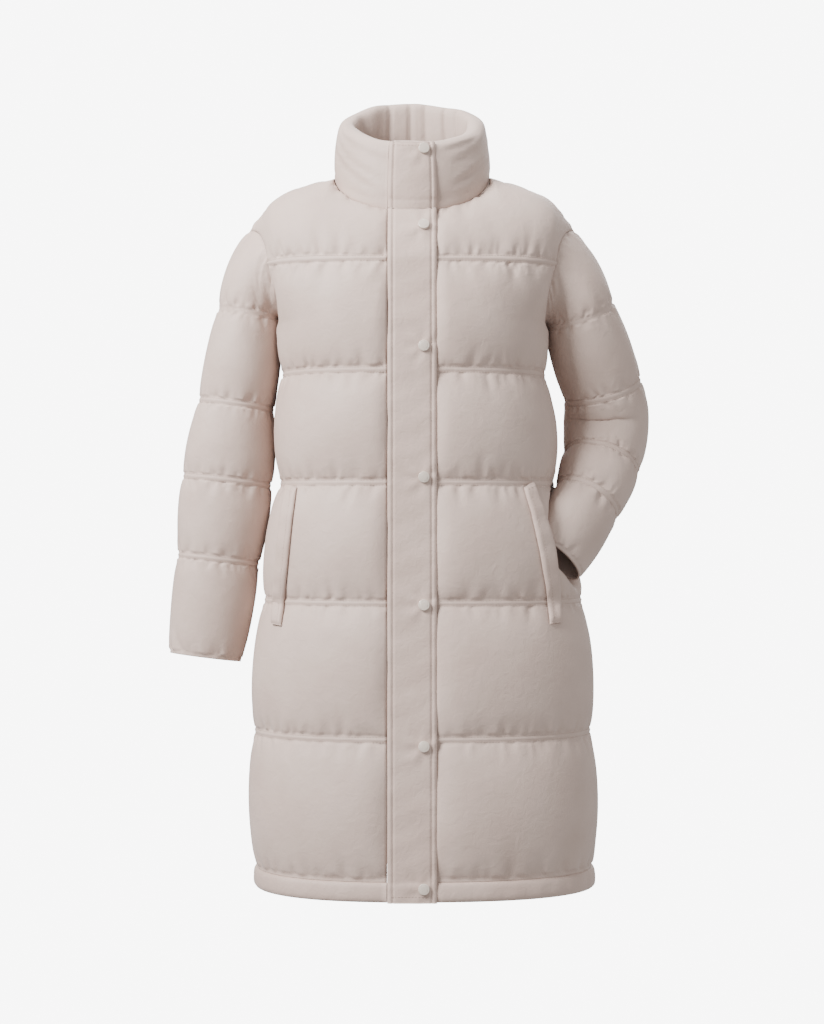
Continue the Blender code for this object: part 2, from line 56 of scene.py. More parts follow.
SQUARENESS = 2.4  # power of the body's level sections, where 2 is an ellipse
HEM_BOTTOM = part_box("hem_back")[0].z
HEM_SEAM = -0.959
QUILT_LINES = (-0.770, -0.589, -0.428, -0.277)
ARMPIT = -0.211
YOKE_LINE = -0.127
STITCH_GAP = 6.6 * MM  # between the two rows of a quilt line
RIDGE = -0.2 * MM  # rise of the cloth between those two rows, over the padded form
STITCH_SINK = 1.3 * MM  # of the stitched rows into the padded form

# height, right half width, left half width, front depth, back depth
BODY = (
    (-0.985, 0.217, 0.253, 0.163, 0.158),
    (-0.959, 0.217, 0.251, 0.162, 0.157),
    (-0.770, 0.2195, 0.249, 0.160, 0.155),
    (-0.589, 0.206, 0.237, 0.154, 0.150),
    (-0.428, 0.184, 0.199, 0.148, 0.146),
    (-0.277, 0.181, 0.186, 0.145, 0.146),
    (-0.211, 0.180, 0.181, 0.144, 0.145),
    (-0.127, 0.206, 0.206, 0.135, 0.136),
)
PUFF = 0.015  # rise of a channel's middle over its stitched lines
SIDE_PUFF = 0.28  # share of it at the side seams
YOKE_PUFF = 0.5  # share of it over the yoke
WALL = 4 * MM  # from the outer to the inner cloth at a stitched line
PUFF_WALL = 6 * MM  # more wall where a body channel is fullest
SLEEVE_PUFF = 0.005
CAP_PUFF = 0.8  # the sleeve's cap over the shoulder, against the rest of the sleeve
SLEEVE_ROOM = 2.5 * MM  # clear of the body
SLEEVE_REACH = 10 * MM  # along a sleeve, from the nearest of its rings
CLEAR_STEP = 1.4 * MM  # by which cloth in a sleeve's way moves, as often as needed
MOST_CLEAR_STEPS = 75
POCKET_COVER = 7 * MM  # cloth over the left sleeve's end, past the welt's inner edge
POCKET_TOP = -0.40
BODY_CAP = 9 * MM  # most that the blown cloth differs from the plain padded form
SLEEVE_CAP = 7 * MM
SEAM_OVERLAP = 0.3 * MM  # of front and back past the side and shoulder seams
SLIDE_CAP = 1.3 * MM  # the same, along the surface, so that no fold runs through itself

# The body's half width at the armhole, at the armpit and at the yoke line.
ARMHOLE_HALF_WIDTHS = (0.180, 0.199)
ARMHOLE_HALF_DEPTH = 0.066
SHOULDER_POINT = (0.228, 0.0, -0.074)
NECK_POINT = (0.108, 0.0, 0.0)
NECK_SHARE = 3 / 7  # of a half panel's columns that end at the neck seam
NECK_FRONT = (0.104, -0.060)  # depth and height at the middle of the front
NECK_BACK = (0.084, 0.020)
COLLAR_TOP = 0.080  # at the shoulders
COLLAR_TILT = 0.46  # rise of the top edge towards the back
COLLAR_LEAN = 0.93  # plan of the top edge against the neck seam's
COLLAR_WALL = 0.026
# Upright creases of its inner face: share of the way round from the placket, depth in mm.
COLLAR_UPRIGHTS = (0.405, 0.447, 0.505, 0.545, 0.60)
COLLAR_UPRIGHT_DEPTH = 3.2

# Share of the height, share of the wall from its outer to its inner face.
COLLAR_OUTLINE = (
    (0.00, 0.00),
    (0.25, -0.10),
    (0.55, -0.12),
    (0.86, -0.05),
    (0.97, 0.14),
    (1.00, 0.44),
    (0.97, 0.76),
    (0.84, 0.94),
    (0.50, 0.94),
    (0.22, 0.66),
    (0.00, 0.20),
)

# Slanted creases on the collar's front, for each side: height at the placket, rise towards the
# side, depth in mm, and where round the neck each starts and ends.
COLLAR_CREASES = {
    -1: (
        (0.10, 0.50, 2.0, 0.35, 0.90),
        (0.26, 0.55, 1.6, 0.30, 0.80),
        (0.62, 0.35, 1.5, 0.25, 0.65),
        (0.40, 0.60, 1.1, 0.50, 0.90),
    ),
    1: (
        (0.16, 0.42, 1.8, 0.40, 0.95),
        (0.50, 0.38, 1.5, 0.40, 0.75),
        (0.78, 0.15, 1.3, 0.30, 0.60),
        (0.30, 0.55, 1.0, 0.60, 0.95),
    ),
}
UNDERLAP = (-0.0328, 0.0290)  # of the left front behind the placket
PLACKET_HALF_WIDTH = 0.0333
PLACKET_THICK = 3.6
PLACKET_SEAM_DEPTH = 1.9
PLACKET_GAP = (0.7 * MM, 1.4 * MM)  # of its under and upper face from the stitched form
PLACKET_SEAMS = (0.11, 0.89)  # its two long topstitched seams, as shares of its width
SNAPS = (0.024, -0.082, -0.246, -0.421, -0.591, -0.778, -0.966)
SNAP_X = 0.0158
SNAP_SHARE = 0.73  # of the placket's width, where the puckers round a snap meet
SNAP_RADIUS = 0.0075
SNAP_HEIGHT = 0.0034
# Inset and push of each ring of a snap's cap, in mm, from its rim to the middle of its dome.
SNAP_RINGS = ((1.0, 0.35), (0.45, -0.22), (0.35, 0.22), (2.2, 0.25), (2.0, 0.08))

# kind, x, y, z, half width, half depth, turn
RIGHT_SLEEVE = (
    ("line", -0.2270, 0.004, -0.1900, 0.0450, 0.063, 0),
    ("line", -0.2460, 0.006, -0.3170, 0.0530, 0.062, 0),
    ("line", -0.2590, 0.004, -0.4240, 0.062, 0.060, 0),
    ("line", -0.2710, 0.000, -0.5340, 0.057, 0.055, 0),
    ("end", -0.2885, -0.006, -0.6700, 0.051, 0.046, 0),
)
LEFT_SLEEVE = (
    ("line", 0.2330, 0.006, -0.1880, 0.0510, 0.063, 0),
    ("line", 0.2690, 0.034, -0.2930, 0.0560, 0.058, 0),
    ("bend", 0.2760, 0.047, -0.3430, 0.0570, 0.052, 4),
    ("line", 0.2660, 0.018, -0.3990, 0.055, 0.048, 14),
    ("line", 0.2430, -0.022, -0.4520, 0.050, 0.041, 24),
    ("end", 0.1980, -0.072, -0.5330, 0.046, 0.027, 34),
)

# inner x, inner height, outer x, outer height
RIGHT_WELT = (
    (0.1545, -0.4350, 0.1715, -0.4300),
    (0.1600, -0.4800, 0.1780, -0.4780),
    (0.1660, -0.5400, 0.1840, -0.5390),
    (0.1715, -0.5890, 0.1890, -0.5880),
    (0.1750, -0.6210, 0.1890, -0.6190),
)
LEFT_WELT = (
    (0.1490, -0.4350, 0.1640, -0.4280),
    (0.1590, -0.4700, 0.1790, -0.4680),
    (0.1700, -0.5200, 0.1930, -0.5180),
    (0.1790, -0.5700, 0.1990, -0.5690),
    (0.1840, -0.6180, 0.2010, -0.6170),
)

# Share of the band's height from its bottom, distance out from the stitched form.
HEM_OUTLINE = (
    (1.00, 0.0000),
    (0.86, 0.0026),
    (0.55, 0.0036),
    (0.22, 0.0032),
    (0.02, 0.0008),
    (0.00, -0.0030),
    (0.20, -0.0075),
    (0.60, -0.0090),
    (1.00, -0.0040),
)

HEM_GAPS = (0.3 * MM, 0.5 * MM)  # from the band to the bottom edge and to the hem seam

# Padding: how tight it is, and how the cloth over it is cut, blown up and settled.
PUFF_POWER = 0.6  # lower is rounder at a channel's stitched edges
CUT_WIDER = 1.06
PRESSURE = 120.0
SETTLING_FRAMES = 22

# ---- resolution -----------------------------------------------------------------------------------
CHANNEL_ROWS = 24
YOKE_ROWS = 22
NECK_COLUMNS = 20
SHOULDER_COLUMNS = 30
UNDERLAP_COLUMNS = 5
CAP_RINGS = 22
SLEEVE_RINGS = 20
SLEEVE_AROUND = 84
COLLAR_POINTS = 56  # round one section
COLLAR_FACE = 19  # of them, those of its outer face
HEM_POINTS = 36
PLACKET_ROWS = 420
COLLAR_PLACKET_ROWS = 60
WELT_ROWS = 70
WELT_COLUMNS = 12

# Short grooves that gathered cloth makes beside a quilt line: those of the simulated cloth, and
# the finer ones that its grid can't hold.
TUCKS = {"width": 4.5 * MM, "reach": 38 * MM, "depth": 2.6 * MM, "spacing": 21 * MM}
FINE_TUCKS = {"width": 2.4 * MM, "reach": 20 * MM, "depth": 1.5 * MM, "spacing": 12 * MM}
SWELL_SIZE = 110 * MM
SWELL_HEIGHT = 1.3 * MM
THREAD_PITCH = 4 * MM
STITCH_HALVES = np.array([1.5, 0.45, 0.35]) * MM  # half a stitch's length, width and thickness

random.seed(7)
noise_rng = np.random.default_rng(11)


# ---- helpers ----------------------------------------------------------------------------------------
def between(low, high, share):
    return low + (high - low) * share


def table_value(rows, key, column):
    for lower, upper in zip(rows, rows[1:]):
        if key <= upper[0]:
            share = (key - lower[0]) / (upper[0] - lower[0])
            return between(lower[column], upper[column], max(share, 0.0))
    return rows[-1][column]


def unit(vectors):
    return vectors / np.maximum(np.linalg.norm(vectors, axis=-1, keepdims=True), 1e-12)


def smooth(low, high, value):
    share = np.clip((value - low) / (high - low), 0, 1)
    return share * share * (3 - 2 * share)


def puff_profile(share):
    return np.sin(np.pi * np.clip(share, 0, 1)) ** PUFF_POWER


# ---- body form --------------------------------------------------------------------------------------
def armhole_edge(height):
    share = (height - ARMPIT) / (YOKE_LINE - ARMPIT)
    half_width = between(*ARMHOLE_HALF_WIDTHS, share**1.5)
    half_depth = ARMHOLE_HALF_DEPTH * math.sqrt(max(1 - (1 - share) ** 2, 0))
    return half_width, half_depth


def section_point(height, side, facing, column, explicit):
    """Point of a level section: column is a share of the way to the side, or x where explicit."""
    half_width = table_value(BODY, height, 2 if side > 0 else 1)
    depth = table_value(BODY, height, 3 if facing < 0 else 4)
    last = math.pi / 2
    if height > ARMPIT + 1e-6:
        edge, edge_depth = armhole_edge(height)
        half_width = edge / (1 - (edge_depth / depth) ** SQUARENESS) ** (1 / SQUARENESS)
        last = math.acos((edge_depth / depth) ** (SQUARENESS / 2))
    start = PLACKET_HALF_WIDTH if facing < 0 else 0.0
    if explicit:
        angle = math.copysign(math.asin((abs(column) / half_width) ** (SQUARENESS / 2)), column)
    else:
        first = math.asin((start / half_width) ** (SQUARENESS / 2))
        angle = between(first, last, column)
    across = math.copysign(abs(math.sin(angle)) ** (2 / SQUARENESS), angle)
    along = max(math.cos(angle), 0.0) ** (2 / SQUARENESS)
    return (side * half_width * across, facing * depth * along, height)


def top_point(side, facing, column, explicit):
    """Point of the neck seam or, past the neck point, of the shoulder seam."""
    depth, height = NECK_FRONT if facing < 0 else NECK_BACK
    start = PLACKET_HALF_WIDTH if facing < 0 else 0.0
    if explicit:
        angle = math.asin(column / NECK_POINT[0])
    elif column <= NECK_SHARE:
        first = math.asin(start / NECK_POINT[0])
        angle = between(first, math.pi / 2, column / NECK_SHARE)
    else:
        share = (column - NECK_SHARE) / (1 - NECK_SHARE)
        across = between(NECK_POINT[0], SHOULDER_POINT[0], share)
        drop = 0.45 * share + 0.55 * share**4
        return (side * across, 0.0, SHOULDER_POINT[2] * drop)
    across = side * NECK_POINT[0] * math.sin(angle)
    return (across, facing * depth * math.cos(angle), height * math.cos(angle))


def yoke_point(share, side, facing, column, explicit):
    """Point of a line that curves from the yoke line to the neck or shoulder seam."""
    low = section_point(YOKE_LINE, side, facing, column, explicit)
    high = top_point(side, facing, column, explicit)
    roundness = 0.35 if explicit else between(0.35, 1.0, column)
    turn = share * math.pi / 2
    rise = between(share, math.sin(turn), roundness)
    run = between(share, 1 - math.cos(turn), roundness)
    return (between(low[0], high[0], run), between(low[1], high[1], run), between(low[2], high[2], rise))


def grid_normals(grid, outward, closed=False):
    """Normals of a grid of points, on the side that outward points to."""
    if closed:
        along = np.roll(grid, -1, axis=1) - np.roll(grid, 1, axis=1)
    else:
        along = np.gradient(grid, axis=1)
    normals = unit(np.cross(along, np.gradient(grid, axis=0)))
    return normals * np.sign((normals * outward).sum(axis=-1, keepdims=True))


def crowded(count):
    """Shares from 0 to 1 that lie closer together at both ends."""
    even = np.linspace(0, 1, count)
    return between(even, 0.5 - 0.5 * np.cos(np.pi * even), 0.6)


def line_shares(count, length):
    """Shares up a channel: its first and last rows are the stitched rows of a quilt line."""
    half = STITCH_GAP / 2 / length
    return np.concatenate([[0.0], between(half, 1 - half, crowded(count - 1))])


def body_rows():
    """Rows from the hem seam up: kind, value, share of the puff, held by stitches, on a ridge."""
    rows = []
    lines = (HEM_SEAM,) + QUILT_LINES + (YOKE_LINE,)
    for low, high in zip(lines, lines[1:]):
        shares = line_shares(CHANNEL_ROWS, high - low)
        for index, share in enumerate(shares):
            stitched = index in (0, 1, len(shares) - 1)
            puff = 0.0 if stitched else float(puff_profile((share - shares[1]) / (shares[-1] - shares[1])))
            rows.append(["level", between(low, high, share), puff, stitched, index == 0 and low > HEM_SEAM])
    shares = np.concatenate([[0.0], between(0.03, 1, crowded(YOKE_ROWS))])
    for index, share in enumerate(shares):
        stitched = index in (0, 1, len(shares) - 1)
        puff = 0.0 if stitched else float(puff_profile((share - shares[1]) / (1 - shares[1]))) * YOKE_PUFF
        rows.append(["yoke", share, puff, stitched, index == 0])
    return rows


def half_columns(side, facing):
    """Columns from the placket or centre line to the side: side, share, explicit, puff."""
    neck = np.linspace(0, NECK_SHARE, NECK_COLUMNS, endpoint=False)
    shoulder = np.linspace(NECK_SHARE, 1, SHOULDER_COLUMNS + 1)
    made = []
    for share in np.concatenate([neck, shoulder]):
        puff = between(1.0, SIDE_PUFF, float(smooth(0.86, 1.0, share)))
        if facing < 0:
            puff *= float(smooth(-0.03, 0.045, share))
        made.append((side, float(share), False, puff))
    return made


def panel_grid(columns, facing):
    """Base grid of a panel, its outward normals, puff, stitched points and ridges."""
    rows = body_rows()
    base = np.empty((len(rows), len(columns), 3))
    puff = np.empty(base.shape[:2])
    held = np.zeros(base.shape[:2], bool)
    ridge = np.zeros(base.shape[:2])
    for row, (kind, value, rise, stitched, is_ridge) in enumerate(rows):
        maker = section_point if kind == "level" else yoke_point
        for index, (side, column, explicit, share) in enumerate(columns):
            base[row, index] = maker(value, side, facing, column, explicit)
            at_armhole = kind == "yoke" or value > ARMPIT
            fade = 1 - 0.55 * float(smooth(0.84, 1.0, column)) if at_armhole and not explicit else 1.0
            puff[row, index] = rise * share * fade
            held[row, index] = stitched or explicit
            ridge[row, index] = is_ridge
    normals = grid_normals(base, base - np.array([0, 0, -0.35]))
    level = np.array([kind == "level" and value <= ARMPIT + 1e-3 for kind, value, *_ in rows])
    is_side = np.array([not explicit and column == 1 for _, column, explicit, _ in columns])
    on_shoulder = np.array(
        [not explicit and column >= NECK_SHARE - 1e-6 for _, column, explicit, _ in columns]
    )
    shared = np.outer(level, is_side)
    shared[-1] |= on_shoulder
    normals[shared, 1] = 0
    normals = unit(normals)
    base[shared, 1] -= facing * SEAM_OVERLAP
    held[:, is_side] = True
    held[-1] = True
    held[0] = True
    if facing < 0:
        held[:, [index for index, column in enumerate(columns) if column[2] or column[1] == 0]] = True
    return base, normals, puff, held, ridge


# ---- sleeves ----------------------------------------------------------------------------------------
def hermite(start, end, start_slope, end_slope, share):
    square = share * share
    cube = square * share
    return (
        start * (2 * cube - 3 * square + 1)
        + start_slope * (cube - 2 * square + share)
        + end * (3 * square - 2 * cube)
        + end_slope * (cube - square)
    )


def sleeve_stations(table, steps):
    """Sections on a smooth curve through the table's rows: values, puff, stitched, ridge."""
    values = np.array([row[1:] for row in table], float)
    slopes = np.gradient(values, axis=0)
    lines = [index for index, row in enumerate(table) if row[0] != "bend"]
    stations = []
    for index in range(len(table) - 1):
        before = max(line for line in lines if line <= index)
        after = min(line for line in lines if line > index)
        length = np.linalg.norm(values[index + 1][:3] - values[index][:3])
        half = STITCH_GAP / 2 / length
        first = half if index == before else 0.0
        last = 1 - half if index + 1 == after else 1.0
        both_ways = crowded(2 * steps + 1)
        if index == before and index + 1 == after:
            rows = crowded(steps + 1)
        elif index == before:
            rows = both_ways[: steps + 1] * 2
        else:
            rows = both_ways[steps:] * 2 - 1
        shares = list(between(first, last, rows))
        if index == before:
            shares = [0.0] + shares
        if index + 1 != after:
            shares = shares[:-1]
        for share in shares:
            value = hermite(values[index], values[index + 1], slopes[index], slopes[index + 1], share)
            is_ridge = index == before and share == 0.0 and index > 0
            channel = (index + share - before) / (after - before)
            edge = share <= half + 1e-9 and index == before or share >= 1 - half - 1e-9 and index + 1 == after
            rise = 0.0 if edge else float(puff_profile(channel))
            stations.append((value, rise, edge, is_ridge))
    stations.append((values[-1], 0.0, True, False))
    return stations


def sleeve_axes(direction, turn, side):
    """Outward and forward axes of a sleeve's section, turned by so many degrees."""
    outward = unit(np.cross(direction, np.array([0.0, 1.0, 0.0]))) * side
    forward = unit(np.cross(direction, outward)) * side
    angle = math.radians(turn)
    turned_out = outward * math.cos(angle) - forward * math.sin(angle)
    turned_forward = forward * math.cos(angle) + outward * math.sin(angle)
    return turned_out, turned_forward


def resample(points, count):
    """Points at equal steps along an open run of points, ends kept."""
    steps = np.concatenate([[0], np.cumsum(np.linalg.norm(np.diff(points[:, :3], axis=0), axis=1))])
    at = np.linspace(0, steps[-1], count)
    return np.stack([np.interp(at, steps, points[:, axis]) for axis in range(points.shape[1])], axis=1)


def armhole_loop(front, back, front_column, back_column):
    """Points and normals round the armhole: top, front, armpit, back."""
    halves = []
    for start, normals, column in ((*front, front_column), (*back, back_column)):
        heights = [row[1] if row[0] == "level" else 0 for row in body_rows()]
        first = min(range(len(heights)), key=lambda index: abs(heights[index] - ARMPIT))
        edge = np.concatenate([start[first:, column], normals[first:, column]], axis=1)
        halves.append(edge)
    down = resample(halves[0][::-1], SLEEVE_AROUND // 2 + 1)
    up = resample(halves[1], SLEEVE_AROUND // 2 + 1)
    loop = np.concatenate([down, up[1:-1]])
    loop[SLEEVE_AROUND // 2] = (down[-1] + up[0]) / 2
    return loop[:, :3], unit(loop[:, 3:])


def sleeve_rings(table, side, count):
    """A sleeve's stations, centres, directions, rings of points and their outward normals."""
    stations = sleeve_stations(table, SLEEVE_RINGS)
    centres = np.array([station[0][:3] for station in stations])
    directions = unit(np.gradient(centres, axis=0))
    for _ in range(30):
        directions[1:-1] = unit(directions[:-2] + 2 * directions[1:-1] + directions[2:])
    rings = np.empty((len(stations), count, 3))
    spokes = np.empty(rings.shape)
    angles = np.arange(count) / count * 2 * math.pi
    for index, (station, direction) in enumerate(zip(stations, directions)):
        value = station[0]
        out_axis, front_axis = sleeve_axes(direction, value[5], side)
        across = np.cos(angles)[:, None] * out_axis
        deep = np.sin(angles)[:, None] * front_axis
        rings[index] = value[:3] + across * value[3] + deep * value[4]
        spokes[index] = unit(across * value[4] + deep * value[3])
    return stations, centres, directions, rings, spokes


def sleeve_grid(table, side, loop, loop_normals):
    """Base grid of a whole sleeve, its outward normals, puff, stitched points and ridges."""
    stations, _, directions, rings, spokes = sleeve_rings(table, side, len(loop))
    tangent = np.roll(loop, -1, axis=0) - np.roll(loop, 1, axis=0)
    away = unit(np.cross(tangent, loop_normals))
    if away[len(loop) // 4][0] * side < 0:
        away = -away
    start = loop + away * 0.5 * MM
    reach = np.linalg.norm(rings[0] - start, axis=1, keepdims=True)
    leave = unit(away * 0.6 + np.array([side * 0.6, 0, -0.55]))
    shares = np.concatenate([[0.0, 0.04], np.linspace(0.08, 0.96, CAP_RINGS - 2)])
    cap = [hermite(start, rings[0], leave * reach, directions[0] * reach, share) for share in shares]
    cap_normals = [unit(between(loop_normals, spokes[0], smooth(0, 1, share))) for share in shares]
    roomy = np.clip((reach[:, 0] - 0.02) / 0.08, 0, 1)
    base = np.concatenate([np.array(cap), rings])
    normals = np.concatenate([np.array(cap_normals), spokes])
    puff = np.zeros(base.shape[:2])
    held = np.zeros(base.shape[:2], bool)
    ridge = np.zeros(base.shape[:2])
    for index, share in enumerate(shares):
        puff[index] = puff_profile(share) * roomy * CAP_PUFF
        held[index] = index in (0, len(shares) - 1)
    for index, station in enumerate(stations):
        row = len(shares) + index
        puff[row] = station[1]
        held[row] = station[2]
        ridge[row] = station[3]
    held[:, :] |= (roomy < 0.02)[None, :] & (np.arange(len(base)) < len(shares))[:, None]
    return base, normals, puff, held, ridge


# ---- cloth ------------------------------------------------------------------------------------------
def grid_faces(rows, columns, closed):
    here = np.arange(rows * columns).reshape(rows, columns)
    after = np.roll(here, -1, axis=1) if closed else here[:, 1:]
    first = here if closed else here[:, :-1]
    return np.stack([first[:-1], after[:-1], after[1:], first[1:]], axis=-1).reshape(-1, 4)


def blow_up(grid, normals, held, closed):
    """The cloth of a padded piece, cut larger than its base and blown up between held points."""
    rows, columns = grid.shape[:2]
    mesh = bpy.data.meshes.new("cloth")
    mesh.from_pydata(grid.reshape(-1, 3).tolist(), [], grid_faces(rows, columns, closed).tolist())
    cloth = bpy.data.objects.new("cloth", mesh)
    bpy.context.scene.collection.objects.link(cloth)
    middle = grid.reshape(-1, 3).mean(axis=0)
    facing = np.empty((len(mesh.polygons), 3), np.float32)
    mesh.polygons.foreach_get("normal", facing.reshape(-1))
    outward = normals[:-1] if closed else normals[:-1, :-1]
    if (facing.reshape(outward.shape) * outward).sum() < 0:
        mesh.flip_normals()
    pin = cloth.vertex_groups.new(name="stitched")
    pin.add(np.flatnonzero(held.reshape(-1)).tolist(), 1.0, "REPLACE")
    cloth.shape_key_add(name="Basis")
    cut = cloth.shape_key_add(name="cut")
    scaled = (grid.reshape(-1, 3) - middle) * CUT_WIDER + middle
    cut.data.foreach_set("co", scaled.astype(np.float32).reshape(-1))
    modifier = cloth.modifiers.new("Cloth", "CLOTH")
    settings = modifier.settings
    settings.quality = 6
    settings.tension_stiffness = 25
    settings.compression_stiffness = 25
    settings.shear_stiffness = 8
    settings.bending_stiffness = 0.05
    settings.tension_damping = 8
    settings.compression_damping = 8
    settings.air_damping = 3
    settings.vertex_group_mass = "stitched"
    settings.rest_shape_key = cut
    settings.use_pressure = True
    settings.uniform_pressure_force = PRESSURE
    settings.effector_weights.gravity = 0
    modifier.collision_settings.use_collision = False
    modifier.point_cache.frame_end = SETTLING_FRAMES + 1
    for step in range(1, SETTLING_FRAMES + 1):
        bpy.context.scene.frame_set(step)
    evaluated = cloth.evaluated_get(bpy.context.evaluated_depsgraph_get())
    result = np.empty(rows * columns * 3, np.float32)
    evaluated.data.vertices.foreach_get("co", result)
    bpy.data.objects.remove(cloth)
    bpy.context.scene.frame_set(1)
    return result.reshape(rows, columns, 3).astype(float)


def quilt_tucks(base, held, closed, width, reach, depth, spacing):
    """Depth of the short grooves that gathered cloth makes above and below each quilt line."""
    rows = len(held)
    along = np.linalg.norm(np.diff(base, axis=1, append=base[:, :1] if closed else base[:, -1:]), axis=-1)
    along = np.concatenate([np.zeros((rows, 1)), along[:, :-1].cumsum(axis=1)], axis=1)
    up = np.linalg.norm(np.diff(base, axis=0, prepend=base[:1]), axis=-1).cumsum(axis=0)
    grooves = np.zeros(held.shape)
    lines = [row for row in range(rows) if held[row].mean() > 0.8]
    for line in lines:
        for way in (-1, 1):
            if line + way in lines or not 0 <= line + way < rows:
                continue
            from_line = (up - up[line]) * way
            on_side = from_line >= 0
            spot = random.uniform(0, spacing)
            while spot < along[line].max():
                lean = random.gauss(0, 0.22)
                length = reach * random.uniform(0.35, 1.0) ** 1.5
                strength = depth * random.uniform(0.35, 1.0)
                wide = width * random.uniform(0.8, 1.3)
                across = (along - spot - lean * from_line) / (wide * (1 + from_line / reach))
                fade = np.exp(-((from_line / length) ** 2)) * smooth(0, 2.5 * MM, from_line)
                grooves += on_side * strength * np.exp(-(across**2)) * fade
                spot += spacing * random.uniform(0.45, 1.7)
    return grooves


def soft_unevenness(base, puff, size):
    """Low uneven swells of hand-filled padding."""
    total = np.zeros(puff.shape)
    for _ in range(9):
        wave = noise_rng.normal(0, 1, 3)
        wave *= 2 * math.pi / (size * noise_rng.uniform(0.7, 1.8)) / np.linalg.norm(wave)
        total += np.sin((base * wave).sum(axis=-1) + noise_rng.uniform(0, 6.3))
    return total / 3 * np.minimum(puff * 1.5, 1)


def inflate(base, normals, puff, held, ridge, closed, depth, cap):
    """Outer points of a padded piece: blown up from its gathered form, and kept within a cap of it."""
    sunk = np.where(held, -STITCH_SINK, 0.0) + ridge * (STITCH_SINK + RIDGE)
    grooves = quilt_tucks(base, held, closed, **TUCKS) * (puff > 0)
    uneven = soft_unevenness(base, puff, SWELL_SIZE) * SWELL_HEIGHT
    plain = base + normals * (puff * depth + uneven + sunk - grooves)[..., None]
    start = base + normals * (puff * depth * 0.75 + sunk - grooves * 1.5)[..., None]
    start[held] = plain[held]
    moved = blow_up(start, normals, held, closed) - plain
    rise = (moved * normals).sum(axis=-1, keepdims=True)
    slide = moved - normals * rise
    length = np.maximum(np.linalg.norm(slide, axis=-1, keepdims=True), 1e-9)
    plain = plain + normals * np.clip(rise, -cap, cap) + slide * np.minimum(1, SLIDE_CAP / length)
    return plain


def halfway(grid, axis, closed):
    """Adds a point on a smooth curve between each two along one axis of a grid."""
    grid = np.moveaxis(grid, axis, 0)
    if closed:
        padded = np.concatenate([grid[-1:], grid, grid[:2]])
    else:
        padded = np.concatenate([2 * grid[:1] - grid[1:2], grid, 2 * grid[-1:] - grid[-2:-1]])
    middle = (9 * (padded[1:-2] + padded[2:-1]) - padded[:-3] - padded[3:]) / 16
    finer = np.empty((len(grid) + len(middle),) + grid.shape[1:])
    finer[0::2] = grid
    finer[1::2] = middle
    return np.moveaxis(finer, 0, axis)


def refine(grid, closed):
    return halfway(halfway(grid, 0, False), 1, closed)


def fine_creases(outer, puff, held, closed, outward):
    """The finer grid of a piece's outer face with the small tucks that the coarse one can't hold."""
    finer = refine(outer, closed)
    fine_puff = refine(puff, closed)
    fine_held = np.repeat(np.repeat(held, 2, axis=0), 2, axis=1)[: finer.shape[0], : finer.shape[1]]
    stitched = np.zeros(fine_held.shape, bool)
    stitched[::2] = fine_held[::2]
    normals = grid_normals(finer, refine(outward, closed), closed)
    grooves = quilt_tucks(finer, stitched, closed, **FINE_TUCKS)
    return finer - normals * (grooves * (fine_puff > 0.02))[..., None]


def add_mesh(name, points, faces, uvs):
    """A mesh object in the scene, with a UV map of its cloth in metres."""
    mesh = bpy.data.meshes.new(name)
    mesh.from_pydata(np.asarray(points).reshape(-1, 3).tolist(), [], [list(face) for face in faces])
    layer = mesh.uv_layers.new(name="cloth")
    corners = np.empty(len(mesh.loops), np.int32)
    mesh.loops.foreach_get("vertex_index", corners)
    layer.data.foreach_set("uv", uvs[corners].astype(np.float32).reshape(-1))
    made = bpy.data.objects.new(name, mesh)
    bpy.context.scene.collection.objects.link(made)
    return made


def face_outwards(piece):
    """Turns a closed mesh the right way out."""
    bm = bmesh.new()
    bm.from_mesh(piece.data)
    if bm.calc_volume(signed=True) < 0:
        bmesh.ops.reverse_faces(bm, faces=bm.faces)
    bm.to_mesh(piece.data)
    bm.free()


def finish_piece(piece, look, node, subdivisions=0):
    """Smooths a piece, gives it its material, puts it under the root body and hides the part it replaces."""
    face_outwards(piece)
    if subdivisions:
        modifier = piece.modifiers.new("Subdivision", "SUBSURF")
        modifier.levels = subdivisions
        modifier.render_levels = subdivisions
        modifier.boundary_smooth = "PRESERVE_CORNERS"
        bpy.context.view_layer.objects.active = piece
        bpy.ops.object.select_all(action="DESELECT")
        piece.select_set(True)
        bpy.ops.object.modifier_apply(modifier=modifier.name)
    piece.data.shade_smooth()
    piece.data.materials.clear()
    piece.data.materials.append(look)
    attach(piece, "root")
    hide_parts(node)
    return piece


def rims_of(index, closed):
    """Each edge of a grid of point numbers as a loop that ends where it starts."""
    if closed:
        top, bottom = (np.append(row, row[0]) for row in (index[0], index[-1]))
        return [top, bottom[::-1]]
    return [np.concatenate([index[0], index[1:, -1], index[-1, -2::-1], index[-2::-1, 0]])]


def slab(name, outer, inner, closed=False):
    """A closed piece between a fine outer grid and a plain inner one with every other point."""
    count = outer.shape[0] * outer.shape[1]
    index = np.arange(count).reshape(outer.shape[:2])
    inner_index = np.arange(inner.shape[0] * inner.shape[1]).reshape(inner.shape[:2]) + count
    faces = grid_faces(*outer.shape[:2], closed).tolist()
    faces += (grid_faces(*inner.shape[:2], closed)[:, ::-1] + count).tolist()
    for rim, inner_rim in zip(rims_of(index, closed), rims_of(inner_index, closed)):
        for step in range(len(inner_rim) - 1):
            faces.append([*rim[2 * step : 2 * step + 3][::-1], inner_rim[step], inner_rim[step + 1]])
    along = np.linalg.norm(np.diff(outer, axis=1, append=outer[:, -1:]), axis=-1).cumsum(axis=1)
    up = np.linalg.norm(np.diff(outer, axis=0, append=outer[-1:]), axis=-1).cumsum(axis=0)
    uvs = np.stack([along, up], axis=-1)
    points = np.concatenate([outer.reshape(-1, 3), inner.reshape(-1, 3)])
    return add_mesh(name, points, faces, np.concatenate([uvs.reshape(-1, 2), uvs[::2, ::2].reshape(-1, 2)]))


thread_paths = []


